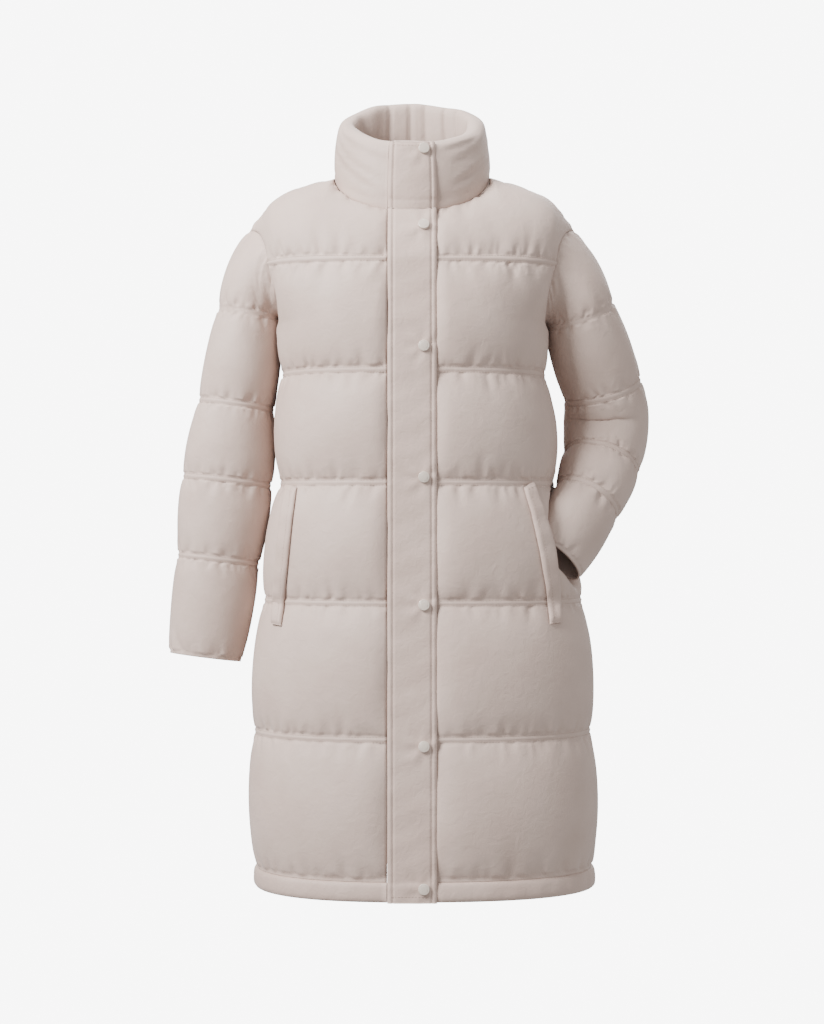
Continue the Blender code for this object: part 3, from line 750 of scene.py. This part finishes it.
def thread_rows(finer, held, ridge, closed, outward):
    """Notes the two rows of thread on each side of a quilt line's ridge."""
    normals = grid_normals(finer, refine(outward, closed), closed)
    for row in range(1, len(held) - 1):
        beside_ridge = ridge[row - 1].max() > 0 or ridge[row + 1].max() > 0
        if held[row].mean() > 0.8 and beside_ridge and not ridge[row].max():
            points, facing = finer[2 * row], normals[2 * row]
            if closed:
                points = np.concatenate([points, points[:1]])
                facing = np.concatenate([facing, facing[:1]])
            thread_paths.append((points, facing))


def add_thread(name, paths, look):
    """Topstitching as one piece: short raised stitches, each sunk a little at both ends.

    They are a little coarser than real ones, so that they show.
    """
    # along, across and out of each stitch's eight corners, in halves of its size
    corners = np.array([(-1, -0.6, -0.8), (-1, 0.6, -0.8), (1, 0.6, -0.8), (1, -0.6, -0.8)])
    upper = np.array([(-0.55, -0.5, 1), (-0.55, 0.5, 1), (0.55, 0.5, 1), (0.55, -0.5, 1)])
    shape = np.concatenate([corners, upper]) * STITCH_HALVES
    box = np.array([(3, 2, 1, 0), (4, 5, 6, 7), (0, 1, 5, 4), (1, 2, 6, 5), (2, 3, 7, 6), (3, 0, 4, 7)])
    points = []
    for line, facing in paths:
        length = np.linalg.norm(np.diff(line, axis=0), axis=1).sum()
        both = resample(np.concatenate([line, facing], axis=1), max(int(length / THREAD_PITCH), 2))
        spots = (both[1:, :3] + both[:-1, :3]) / 2
        ahead = unit(both[1:, :3] - both[:-1, :3])
        out = unit(both[1:, 3:] + both[:-1, 3:])
        across = unit(np.cross(out, ahead))
        for offset in shape:
            points.append(spots + ahead * offset[0] + across * offset[1] + out * (offset[2] + 0.2 * MM))
    stacked = [np.stack(points[start : start + 8], axis=1) for start in range(0, len(points), 8)]
    everything = np.concatenate(stacked)
    faces = (np.arange(len(everything))[:, None, None] * 8 + box).reshape(-1, 4)
    piece = add_mesh(name, everything, faces.tolist(), everything.reshape(-1, 3)[:, [0, 2]])
    piece.data.materials.append(look)
    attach(piece, "root")
    return piece


def in_sleeve(points, sleeve, room):
    """Which points lie in the space that a sleeve takes up below its cap."""
    flat = points.reshape(-1, 3)
    nearest = np.argmin(((flat[:, None] - sleeve["centres"][None]) ** 2).sum(axis=-1), axis=1)
    away = flat - sleeve["centres"][nearest]
    along = (away * sleeve["directions"][nearest]).sum(axis=-1)
    across = (away * sleeve["across"][nearest]).sum(axis=-1) / (sleeve["widths"][nearest] + room)
    deep = (away * sleeve["deep"][nearest]).sum(axis=-1) / (sleeve["depths"][nearest] + room)
    return ((across**2 + deep**2 < 1) & (np.abs(along) < SLEEVE_REACH)).reshape(points.shape[:-1])


def sleeve_space(table, side):
    """The room that a sleeve takes up, as sections along its middle line."""
    stations, centres, directions, _, _ = sleeve_rings(table, side, 4)
    axes = [sleeve_axes(direction, station[0][5], side) for station, direction in zip(stations, directions)]
    rise = np.array([station[1] for station in stations]) * SLEEVE_PUFF
    return {
        "centres": centres,
        "directions": directions,
        "across": np.array([out_axis for out_axis, _ in axes]),
        "deep": np.array([front_axis for _, front_axis in axes]),
        "widths": np.array([station[0][3] for station in stations]) + rise,
        "depths": np.array([station[0][4] for station in stations]) + rise,
    }


def keep_clear(points, normals, spaces, over):
    """Moves a panel's points out of the sleeves: inwards, or outwards where it covers a sleeve's end."""
    moved = points.copy()
    direction = np.where(over[..., None], np.array([0.0, -1.0, 0.0]), -normals)
    for _ in range(MOST_CLEAR_STEPS):
        inside = np.zeros(points.shape[:-1], bool)
        for space in spaces:
            inside |= in_sleeve(moved, space, SLEEVE_ROOM)
        if not inside.any():
            break
        moved[inside] += direction[inside] * CLEAR_STEP
    slack = np.linalg.norm(moved - points, axis=-1)
    for _ in range(3):
        near = np.pad(slack, 1, mode="edge")
        around = (near[:-2, 1:-1] + near[2:, 1:-1] + near[1:-1, :-2] + near[1:-1, 2:]) / 4
        slack = np.maximum(slack, around * (around > 0.3 * MM))
    return points + direction * slack[..., None]


def welt_edge(table, height, column):
    """How far out a welt's inner or outer edge is at a height."""
    rows = sorted((row[column + 1], row[column]) for row in table)
    return np.interp(height, [row[0] for row in rows], [row[1] for row in rows])


def panel(name, columns, facing, spaces, look, node, has_pocket=False):
    """A padded panel of the body: its finished piece and its outer grid."""
    base, normals, puff, held, ridge = panel_grid(columns, facing)
    outer = inflate(base, normals, puff, held, ridge, False, PUFF, BODY_CAP)
    over = np.zeros(puff.shape, bool)
    if has_pocket:
        height = base[..., 2]
        over = (base[..., 0] < welt_edge(LEFT_WELT, height, 0) + POCKET_COVER) & (height < POCKET_TOP)
    cleared = keep_clear(outer, normals, spaces, over)
    pushed = ((outer - cleared) * normals).sum(axis=-1)
    wall = WALL + puff * PUFF_WALL
    inner = base - normals * (wall + np.maximum(pushed - puff * PUFF, 0))[..., None]
    finer = fine_creases(cleared, puff, held, False, normals)
    thread_rows(finer, held, ridge, False, normals)
    piece = slab(name, finer, inner)
    finish_piece(piece, look, node)
    return base, normals, cleared


def sleeve(name, table, side, loop, loop_normals, look, node):
    """A padded sleeve from its armhole's loop to its end."""
    base, normals, puff, held, ridge = sleeve_grid(table, side, loop, loop_normals)
    outer = inflate(base, normals, puff, held, ridge, True, SLEEVE_PUFF, SLEEVE_CAP)
    finer = fine_creases(outer, puff, held, True, normals)
    thread_rows(finer, held, ridge, True, normals)
    piece = slab(name, finer, base - normals * WALL, closed=True)
    finish_piece(piece, look, node)


def closed_curve(points, count):
    """A smooth closed curve of so many points through a few, as Catmull and Rom draw it."""
    points = np.asarray(points, float)
    at = np.arange(count) / count * len(points)
    first = at.astype(int)
    share = (at - first)[:, None]
    before, here, after, last = (points[(first + step) % len(points)] for step in (-1, 0, 1, 2))
    return 0.5 * (
        2 * here
        + (after - before) * share
        + (2 * before - 5 * here + 4 * after - last) * share**2
        + (3 * here - before - 3 * after + last) * share**3
    )


def loft(name, sections):
    """A closed piece through closed sections, with plain ends."""
    sections = np.asarray(sections)
    rows, columns = sections.shape[:2]
    faces = grid_faces(rows, columns, True).tolist()
    ends = [list(range(columns)), list(range(rows * columns - 1, (rows - 1) * columns - 1, -1))]
    along = np.linalg.norm(np.diff(sections, axis=1, append=sections[:, :1]), axis=-1).cumsum(axis=1)
    up = np.linalg.norm(np.diff(sections, axis=0, append=sections[-1:]), axis=-1).cumsum(axis=0)
    return add_mesh(name, sections, faces + ends, np.stack([along, up], axis=-1).reshape(-1, 2))


# ---- collar, placket, welts, hem, snaps ---------------------------------------------------------------
def bump_at(distance, width):
    return np.exp(-((distance / width) ** 2))


def collar_places():
    """The collar's sections, from its front end under the placket round the neck: side, facing, angle."""
    quarter = np.linspace(math.asin(PLACKET_HALF_WIDTH / NECK_POINT[0]), math.pi / 2, 34)
    back_quarter = np.linspace(0, math.pi / 2, 40)
    around = [(1, -1, math.asin(x / NECK_POINT[0])) for x in np.linspace(-0.0312, 0.0300, 14)]
    around += [(1, -1, angle) for angle in quarter]
    around += [(1, 1, angle) for angle in back_quarter[-2::-1]]
    around += [(-1, 1, angle) for angle in back_quarter[1:-1]]
    around += [(-1, -1, angle) for angle in quarter[::-1]]
    return around


def collar_section(side, facing, angle, station):
    """One section of the padded collar, with its rolled top edge and its creases."""
    depth, height = NECK_FRONT if facing < 0 else NECK_BACK
    plan = np.array([side * NECK_POINT[0] * math.sin(angle), facing * depth * math.cos(angle), 0])
    outward = unit(np.array([plan[0] / NECK_POINT[0] ** 2, plan[1] / depth**2, 0]))
    bottom = plan + np.array([0, 0, height * math.cos(angle) + 0.6 * MM])
    top = plan * COLLAR_LEAN
    top[2] = COLLAR_TOP + COLLAR_TILT * top[1]
    shape = closed_curve(COLLAR_OUTLINE, COLLAR_POINTS)
    up = shape[:, 0]
    through = shape[:, 1]
    wall = COLLAR_WALL * (1 + 0.05 * math.sin(station * 31) + 0.04 * math.sin(station * 67 + 1))
    points = bottom + (top - bottom) * up[:, None] - outward * (wall * through)[:, None]
    inside = smooth(0.35, 0.7, through)
    outside = 1 - inside
    # The outer face has slanted creases, and the inner one upright creases.
    share = angle / (math.pi / 2)
    slant = np.sin(station * 46 + up * 5.5) * 0.5
    if facing < 0:
        for start, lean, deep, low, high in COLLAR_CREASES[side]:
            on_line = smooth(low - 0.12, low + 0.05, share) * (1 - smooth(high - 0.05, high + 0.12, share))
            slant = slant - deep * on_line * bump_at(up - start - lean * share, 0.045)
            slant = slant + 0.6 * deep * on_line * bump_at(up - start - lean * share - 0.08, 0.06)
    long_crease = -bump_at(up - 0.10 - 0.04 * math.sin(station * 20), 0.05) * 1.2
    upright = -sum(bump_at(station - spot, 0.006) for spot in COLLAR_UPRIGHTS) * COLLAR_UPRIGHT_DEPTH
    near_seam = smooth(0.0, 0.12, up)
    rise = outside * (slant * 1.1 + long_crease) * near_seam
    points += outward * (rise * MM)[:, None]
    hollow = inside * (upright + np.sin(station * 61) * 0.6) * smooth(0.0, 0.3, up)
    points -= outward * (hollow * MM)[:, None]
    wave = 1.2 * math.sin(station * 22 + 0.8) + 0.7 * math.sin(station * 51)
    points[:, 2] += MM * smooth(0.6, 1.0, up) * wave
    return points


def under_placket(across):
    """The stitched form under the placket, from the coat's bottom edge to the neck seam."""
    form = panel_grid([(1, float(x), True, 0.0) for x in across], -1)[0]
    foot = np.repeat(form[:1], 4, axis=0)
    foot[:, :, 1] -= 1.5 * MM
    foot[:, :, 2] = np.linspace(HEM_BOTTOM - 0.4 * MM, HEM_SEAM - 6 * MM, 4)[:, None]
    seam = form[-1:] + unit(form[-2:-1] - form[-1:]) * 0.4 * MM
    form = np.concatenate([foot, form[:-1], seam])
    return np.stack([resample(form[:, index], PLACKET_ROWS) for index in range(len(across))], axis=1)


def under_collar_placket(across):
    """The collar's outer face under the placket's top part, from the neck seam over the top edge."""
    angles = [math.asin(x / NECK_POINT[0]) for x in across]
    face = np.array([collar_section(1, -1, angle, 0.02)[:COLLAR_FACE] for angle in angles])
    face = face.transpose(1, 0, 2)
    face[0] += unit(face[1] - face[0]) * 0.8 * MM
    return np.stack([resample(face[:, index], COLLAR_PLACKET_ROWS) for index in range(len(across))], axis=1)


def placket_strip(grid, width_shares, rows, seam_row):
    """Closed sections of the doubled strip on a grid of the front: topstitched, flat, with puckers."""
    normals = grid_normals(grid, np.array([0.0, -1.0, 0.0]))
    normals = unit(normals * np.array([0, 1, 1]))
    normals[seam_row] = (0, -1, 0)
    across = np.asarray(width_shares)[None]
    height = rows[:, None]
    edge = 1 - 0.6 * (bump_at(across, 0.025) + bump_at(1 - across, 0.025))
    sewn = sum(bump_at(across - line, 0.017) for line in PLACKET_SEAMS)
    wave = 0.35 * np.sin(height * 95 + 0.6 + across * 2) + 0.5 * np.sin(height * 41 + across * 4)
    wave = wave + 0.25 * np.sin(height * 170 - across * 5)
    wave = wave * (1 - bump_at(across - 0.5, 0.9) * 0.2)
    thick = (PLACKET_THICK * edge - PLACKET_SEAM_DEPTH * sewn + wave) * MM
    for snap in SNAPS:
        away = height - snap
        near = bump_at(away, 0.030)
        spread = (across - SNAP_SHARE) * 2 * PLACKET_HALF_WIDTH
        star = np.sin(np.arctan2(away, spread) * 5 + snap * 40)
        reach = np.hypot(away, spread)
        thick += near * star * 0.75 * MM * smooth(0.006, 0.014, reach) * bump_at(reach - 0.018, 0.014)
    under = grid + normals * PLACKET_GAP[0]
    over = grid + normals * (PLACKET_GAP[1] + thick)[..., None]
    for line in PLACKET_SEAMS:
        column = int(np.argmin(np.abs(np.asarray(width_shares) - line)))
        thread_paths.append((over[3:-3, column], normals[3:-3, column]))
    ending = -4 if seam_row == 0 else 4
    thread_paths.append((over[ending, 1:-1], normals[ending, 1:-1]))
    return np.concatenate([under, over[:, ::-1]], axis=1)


def hem_band(name, columns, facing, look, node):
    """The plain band under a panel, a little wavy."""
    sections = []
    for index, (side, column, explicit, puff) in enumerate(columns):
        shape = closed_curve(HEM_OUTLINE, HEM_POINTS)
        share = shape[:, 0]
        way = index / len(columns) * 40 + facing
        out = shape[:, 1] * (1 + 0.12 * math.sin(way * 1.7) + 0.08 * math.sin(way * 4.1))
        if explicit or puff < 0.02:
            out = np.minimum(out, 0.0)
        section = []
        for up, proud in zip(share, out):
            height = between(HEM_BOTTOM + HEM_GAPS[0], HEM_SEAM - HEM_GAPS[1], up)
            point = np.array(section_point(height, side, facing, column, explicit))
            outward = unit(np.array([point[0], point[1] * 2.0, 0.0]))
            if not explicit and column == 1:
                point[1] -= facing * SEAM_OVERLAP
                outward = np.array([float(side), 0.0, 0.0])
            section.append(point + outward * proud)
        sections.append(section)
    finish_piece(loft(name, sections), look, node)


def tree_of(mesh):
    points = [vertex.co for vertex in mesh.vertices]
    return BVHTree.FromPolygons(points, [list(face.vertices) for face in mesh.polygons])


def first_hit(tree, x, height):
    """Where a line from the front meets a surface first, and its normal there."""
    spot, facing, _, _ = tree.ray_cast(Vector((x, -0.5, height)), Vector((0, 1, 0)))
    return spot, facing


def welt(name, table, side, front, spaces, look, node):
    """A pocket's welt, doubled cloth laid over the pocket's mouth and stitched along both edges."""
    tree = tree_of(front.data)
    rows = np.array(table)
    at = np.linspace(0, len(rows) - 1, WELT_ROWS)
    fine = np.stack([np.interp(at, range(len(rows)), rows[:, column]) for column in range(4)], axis=1)
    shares = np.linspace(0, 1, WELT_COLUMNS)
    grid = np.empty((len(fine), len(shares), 3))
    for row, (inner_x, inner_z, outer_x, outer_z) in enumerate(fine):
        for index, share in enumerate(shares):
            x = side * between(inner_x, outer_x, share)
            height = between(inner_z, outer_z, share)
            grid[row, index] = (x, first_hit(tree, x, height)[0].y, height)
        lean = (grid[row, 4, 1] - grid[row, 0, 1]) / 4
        limit = grid[row, 4, 1] + np.arange(-4, 8) * max(lean, 0.0)
        grid[row, 4:, 1] = np.minimum(grid[row, 4:, 1], limit[4:])
    kernel = np.array([1, 3, 5, 7, 5, 3, 1]) / 25
    padded = np.pad(grid[..., 1], ((3, 3), (0, 0)), mode="edge")
    grid[..., 1] = sum(weight * padded[step : step + len(grid)] for step, weight in enumerate(kernel))
    normals = grid_normals(grid, np.array([0.0, -1.0, 0.0]))
    grid = keep_clear(grid, normals, spaces, np.ones(grid.shape[:2], bool))
    edge = 1 - 0.6 * (bump_at(shares, 0.09) + bump_at(1 - shares, 0.09))
    sewn = bump_at(shares - 0.26, 0.06) * 0.5
    ends = np.minimum(1, np.minimum(at, len(rows) - 1 - at) / 0.12)[:, None] * 0.5 + 0.5
    thick = (4.6 * edge - 1.0 * sewn)[None] * ends * MM * (1 + 0.08 * np.sin(at * 9)[:, None])
    under = grid + normals * 1.0 * MM
    over = grid + normals * (1.8 * MM + thick)[..., None]
    thread_paths.append((over[2:-2, 3], normals[2:-2, 3]))
    thread_paths.append((over[3, 1:-1], normals[3, 1:-1]))
    piece = loft(name, np.concatenate([under, over[:, ::-1]], axis=1))
    finish_piece(piece, look, node, subdivisions=1)


def snap_cap(name, height, strips, look, node):
    """A press snap's cap on the first strip at that height: a low dome, a fine groove in its rim."""
    for strip in strips:
        spot, facing = first_hit(tree_of(strip.data), SNAP_X, height)
        if spot:
            break
    centre = spot + facing * 0.2 * MM
    bpy.ops.object.select_all(action="DESELECT")
    bpy.ops.mesh.primitive_cylinder_add(
        vertices=48,
        radius=SNAP_RADIUS,
        depth=SNAP_HEIGHT,
        end_fill_type="NGON",
        location=centre + facing * SNAP_HEIGHT / 2,
        rotation=facing.to_track_quat("Z", "Y").to_euler(),
    )
    piece = bpy.context.object
    piece.name = name
    bpy.ops.object.transform_apply(location=True, rotation=True, scale=True)
    bpy.ops.object.mode_set(mode="EDIT")
    for inset, push in SNAP_RINGS:
        bpy.ops.mesh.select_mode(type="FACE")
        bpy.ops.mesh.select_all(action="DESELECT")
        bm = bmesh.from_edit_mesh(piece.data)
        ends = [face for face in bm.faces if len(face.verts) > 4]
        top = max(ends, key=lambda face: (face.calc_center_median() - centre).dot(facing))
        top.select = True
        bmesh.update_edit_mesh(piece.data)
        bpy.ops.mesh.inset(thickness=inset * MM, depth=push * MM)
    bpy.ops.object.mode_set(mode="OBJECT")
    bevel = piece.modifiers.new("Rounded rim", "BEVEL")
    bevel.width = 0.5 * MM
    bevel.segments = 3
    bevel.limit_method = "ANGLE"
    bevel.angle_limit = math.radians(50)
    bpy.ops.object.modifier_apply(modifier=bevel.name)
    piece.data.materials.clear()
    piece.data.materials.append(look)
    piece.data.shade_smooth()
    bpy.ops.object.shade_smooth_by_angle(angle=math.radians(40))
    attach(piece, "root")
    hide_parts(node)
    return piece


# ---- materials ----------------------------------------------------------------------------------------
WAVE_BAND = 0.314159  # metres between a wave texture's bands at a scale of 1


def colour(code):
    """An sRGB hex value as a linear colour."""
    parts = [int(code[start : start + 2], 16) / 255 for start in (0, 2, 4)]
    linear = [part / 12.92 if part <= 0.04045 else ((part + 0.055) / 1.055) ** 2.4 for part in parts]
    return (*linear, 1.0)


def add_node(tree, kind, inputs=(), **settings):
    """Adds a node. Each input is a socket with its value or with the output that feeds it."""
    node = tree.nodes.new(kind)
    for setting, value in settings.items():
        setattr(node, setting, value)
    for socket, value in inputs:
        if isinstance(value, bpy.types.NodeSocket):
            tree.links.new(value, node.inputs[socket])
        else:
            node.inputs[socket].default_value = value
    return node


def woven_cloth(name, light, shade, thread, crinkle, roughness):
    """Fine plain-woven polyester.

    The eye gets a soft mottled colour, the faint grid of its threads, small crinkles where the
    light falls along it, and a slight sheen at its edges.
    """
    look = bpy.data.materials.new(name)
    look.use_nodes = True
    tree = look.node_tree
    tree.nodes.clear()
    place = add_node(tree, "ShaderNodeTexCoord").outputs["Object"]
    cloth = add_node(tree, "ShaderNodeUVMap", uv_map="cloth").outputs["UV"]
    mottle = add_node(tree, "ShaderNodeTexNoise", (("Vector", place), ("Scale", 14.0), ("Detail", 4.0)))
    ramp = add_node(tree, "ShaderNodeValToRGB", (("Fac", mottle.outputs["Fac"]),))
    ramp.color_ramp.elements[0].position = 0.3
    ramp.color_ramp.elements[0].color = colour(shade)
    ramp.color_ramp.elements[1].position = 0.7
    ramp.color_ramp.elements[1].color = colour(light)
    warp, weft = (
        add_node(
            tree, "ShaderNodeTexWave", (("Vector", cloth), ("Scale", WAVE_BAND / thread)), bands_direction=way
        ).outputs["Fac"]
        for way in ("X", "Y")
    )
    weave = add_node(tree, "ShaderNodeMath", ((0, warp), (1, weft)), operation="MULTIPLY")
    creases = add_node(
        tree,
        "ShaderNodeTexNoise",
        (("Vector", place), ("Scale", crinkle), ("Detail", 3.0), ("Roughness", 0.55), ("Distortion", 0.6)),
    )
    fine = add_node(
        tree, "ShaderNodeBump", (("Height", weave.outputs[0]), ("Strength", 0.25), ("Distance", 0.1 * MM))
    )
    bump = add_node(
        tree,
        "ShaderNodeBump",
        (
            ("Height", creases.outputs["Fac"]),
            ("Strength", 0.35),
            ("Distance", 2.2 * MM),
            ("Normal", fine.outputs[0]),
        ),
    )
    shader = add_node(
        tree,
        "ShaderNodeBsdfPrincipled",
        (
            ("Base Color", ramp.outputs["Color"]),
            ("Normal", bump.outputs["Normal"]),
            ("Roughness", roughness),
            ("IOR", 1.5),
            ("Specular IOR Level", 0.35),
            ("Sheen Weight", 0.12),
            ("Sheen Roughness", 0.45),
        ),
    )
    add_node(tree, "ShaderNodeOutputMaterial", (("Surface", shader.outputs[0]),))
    return look


def lacquered_metal(name, tint):
    """Stamped brass under a satin lacquer: even colour, a soft round highlight, faint scuffs."""
    look = bpy.data.materials.new(name)
    look.use_nodes = True
    tree = look.node_tree
    tree.nodes.clear()
    place = add_node(tree, "ShaderNodeTexCoord").outputs["Object"]
    scuffs = add_node(tree, "ShaderNodeTexNoise", (("Vector", place), ("Scale", 700.0), ("Detail", 5.0)))
    rough = add_node(
        tree, "ShaderNodeMapRange", (("Value", scuffs.outputs["Fac"]), ("To Min", 0.28), ("To Max", 0.46))
    )
    bump = add_node(
        tree, "ShaderNodeBump", (("Height", scuffs.outputs["Fac"]), ("Strength", 0.1), ("Distance", 0.1 * MM))
    )
    shader = add_node(
        tree,
        "ShaderNodeBsdfPrincipled",
        (
            ("Base Color", colour(tint)),
            ("Roughness", rough.outputs[0]),
            ("Normal", bump.outputs[0]),
            ("Coat Weight", 0.25),
            ("Coat Roughness", 0.2),
        ),
    )
    add_node(tree, "ShaderNodeOutputMaterial", (("Surface", shader.outputs[0]),))
    return look


# Threads lie 0.57 mm apart in the cloth, coarser than the real 0.2 mm, so that they show at all.
shell = woven_cloth("woven_polyester_shell", "C2ADA2", "B8A297", 0.5655 * MM, 70.0, 0.62)
trim = woven_cloth("topstitched_polyester", "C0AA9F", "B7A095", 0.5655 * MM, 110.0, 0.6)
thread_look = woven_cloth("polyester_sewing_thread", "B9A398", "AD978C", 0.1885 * MM, 400.0, 0.5)
cap_look = lacquered_metal("lacquered_brass_snap", "C9BCB0")

# ---- the coat -----------------------------------------------------------------------------------------
right_space = sleeve_space(RIGHT_SLEEVE, -1)
left_space = sleeve_space(LEFT_SLEEVE, 1)
underlap = [(1, float(x), True, 0.0) for x in np.linspace(*UNDERLAP, UNDERLAP_COLUMNS)]
right_half = half_columns(-1, -1)
left_half = half_columns(1, -1)
left_columns = underlap + left_half
back_columns = half_columns(-1, 1)[::-1] + half_columns(1, 1)[1:]

right_front = panel("front_right_quilted", right_half, -1, (right_space,), shell, "front_right")
left_front = panel(
    "front_left_quilted", left_columns, -1, (left_space,), shell, "front_left", has_pocket=True
)
back = panel("back_quilted", back_columns, 1, (right_space, left_space), shell, "back")

right_loop = armhole_loop(right_front[:2], back[:2], len(right_half) - 1, 0)
left_loop = armhole_loop(left_front[:2], back[:2], len(left_columns) - 1, len(back_columns) - 1)
sleeve("sleeve_right_quilted", RIGHT_SLEEVE, -1, *right_loop, shell, "sleeve_right")
sleeve("sleeve_left_quilted", LEFT_SLEEVE, 1, *left_loop, shell, "sleeve_left")

around = collar_places()
collar_sections = [collar_section(*place, index / len(around)) for index, place in enumerate(around)]
collar = finish_piece(loft("collar_padded", collar_sections), shell, "collar")

for name, columns, facing, node in (
    ("band_front_right", right_half, -1, "hem_front_right"),
    ("band_front_left", left_columns, -1, "hem_front_left"),
    ("band_back", back_columns, 1, "hem_back"),
):
    hem_band(name, columns, facing, trim, node)

placket_x = np.concatenate([[-0.0328, -0.0316], np.linspace(-0.0300, 0.0305, 44), [0.0321, 0.0333]])
placket_shares = (placket_x - placket_x[0]) / (placket_x[-1] - placket_x[0])
lower_grid = under_placket(placket_x)
placket = loft("placket_topstitched", placket_strip(lower_grid, placket_shares, lower_grid[:, 0, 2], -1))
finish_piece(placket, trim, "placket")
upper_grid = under_collar_placket(placket_x)
upper = loft(
    "placket_collar_topstitched", placket_strip(upper_grid, placket_shares, upper_grid[:, 0, 2], 0)
)
finish_piece(upper, trim, "placket_collar")

for name, table, side, front, space, node in (
    ("welt_right_doubled", RIGHT_WELT, -1, "front_right_quilted", right_space, "welt_right"),
    ("welt_left_doubled", LEFT_WELT, 1, "front_left_quilted", left_space, "welt_left"),
):
    welt(name, table, side, bpy.data.objects[front], (space,), trim, node)
add_thread("topstitching", thread_paths, thread_look)
for number, height in enumerate(SNAPS, 1):
    snap_cap(f"cap_{number}", height, (placket, upper), cap_look, f"snap_{number}")

# ---- light and camera ---------------------------------------------------------------------------------
# The surroundings light the coat softly, and the camera sees them as bright white paper.
AMBIENT = 0.6
PAPER = 8.0
LENS = 75.34  # mm, on a sensor 36 mm high

world = bpy.data.worlds.new("studio")
bpy.context.scene.world = world
world.use_nodes = True
tree = world.node_tree
tree.nodes.clear()
seen = add_node(tree, "ShaderNodeLightPath").outputs["Is Camera Ray"]
strength = add_node(
    tree, "ShaderNodeMapRange", (("Value", seen), ("To Min", AMBIENT), ("To Max", PAPER)), data_type="FLOAT"
)
sky = add_node(
    tree, "ShaderNodeBackground", (("Color", colour("FFFFFF")), ("Strength", strength.outputs["Result"]))
)
add_node(tree, "ShaderNodeOutputWorld", (("Surface", sky.outputs[0]),))

# name, place, aim, width, height, power in watts
LIGHTS = (
    ("key", (-1.9, -1.6, 1.3), (0.0, 0.0, -0.38), 1.2, 1.2, 235),
    ("fill", (2.4, -1.4, 0.2), (0.0, 0.0, -0.45), 1.8, 2.0, 16),
    ("top", (-0.3, 0.0, 2.2), (0.0, 0.0, -0.4), 1.2, 0.8, 60),
    ("back", (0.6, 2.6, 1.0), (0.0, 0.0, -0.5), 2.4, 2.0, 60),
)
for name, spot, aim, width, height, power in LIGHTS:
    lamp = bpy.data.lights.new(name, "AREA")
    lamp.shape = "RECTANGLE"
    lamp.size = width
    lamp.size_y = height
    lamp.energy = power
    holder = bpy.data.objects.new(name, lamp)
    holder.location = spot
    holder.rotation_euler = (Vector(aim) - Vector(spot)).to_track_quat("-Z", "Y").to_euler()
    bpy.context.scene.collection.objects.link(holder)

lens = bpy.data.cameras.new("camera")
lens.sensor_fit = "VERTICAL"
lens.sensor_height = 36.0
lens.lens = LENS
camera = bpy.data.objects.new("camera", lens)
camera.location = (0.0, -3.0, -0.4676)
camera.rotation_euler = (math.pi / 2, 0.0, 0.0)
bpy.context.scene.collection.objects.link(camera)
bpy.context.scene.camera = camera
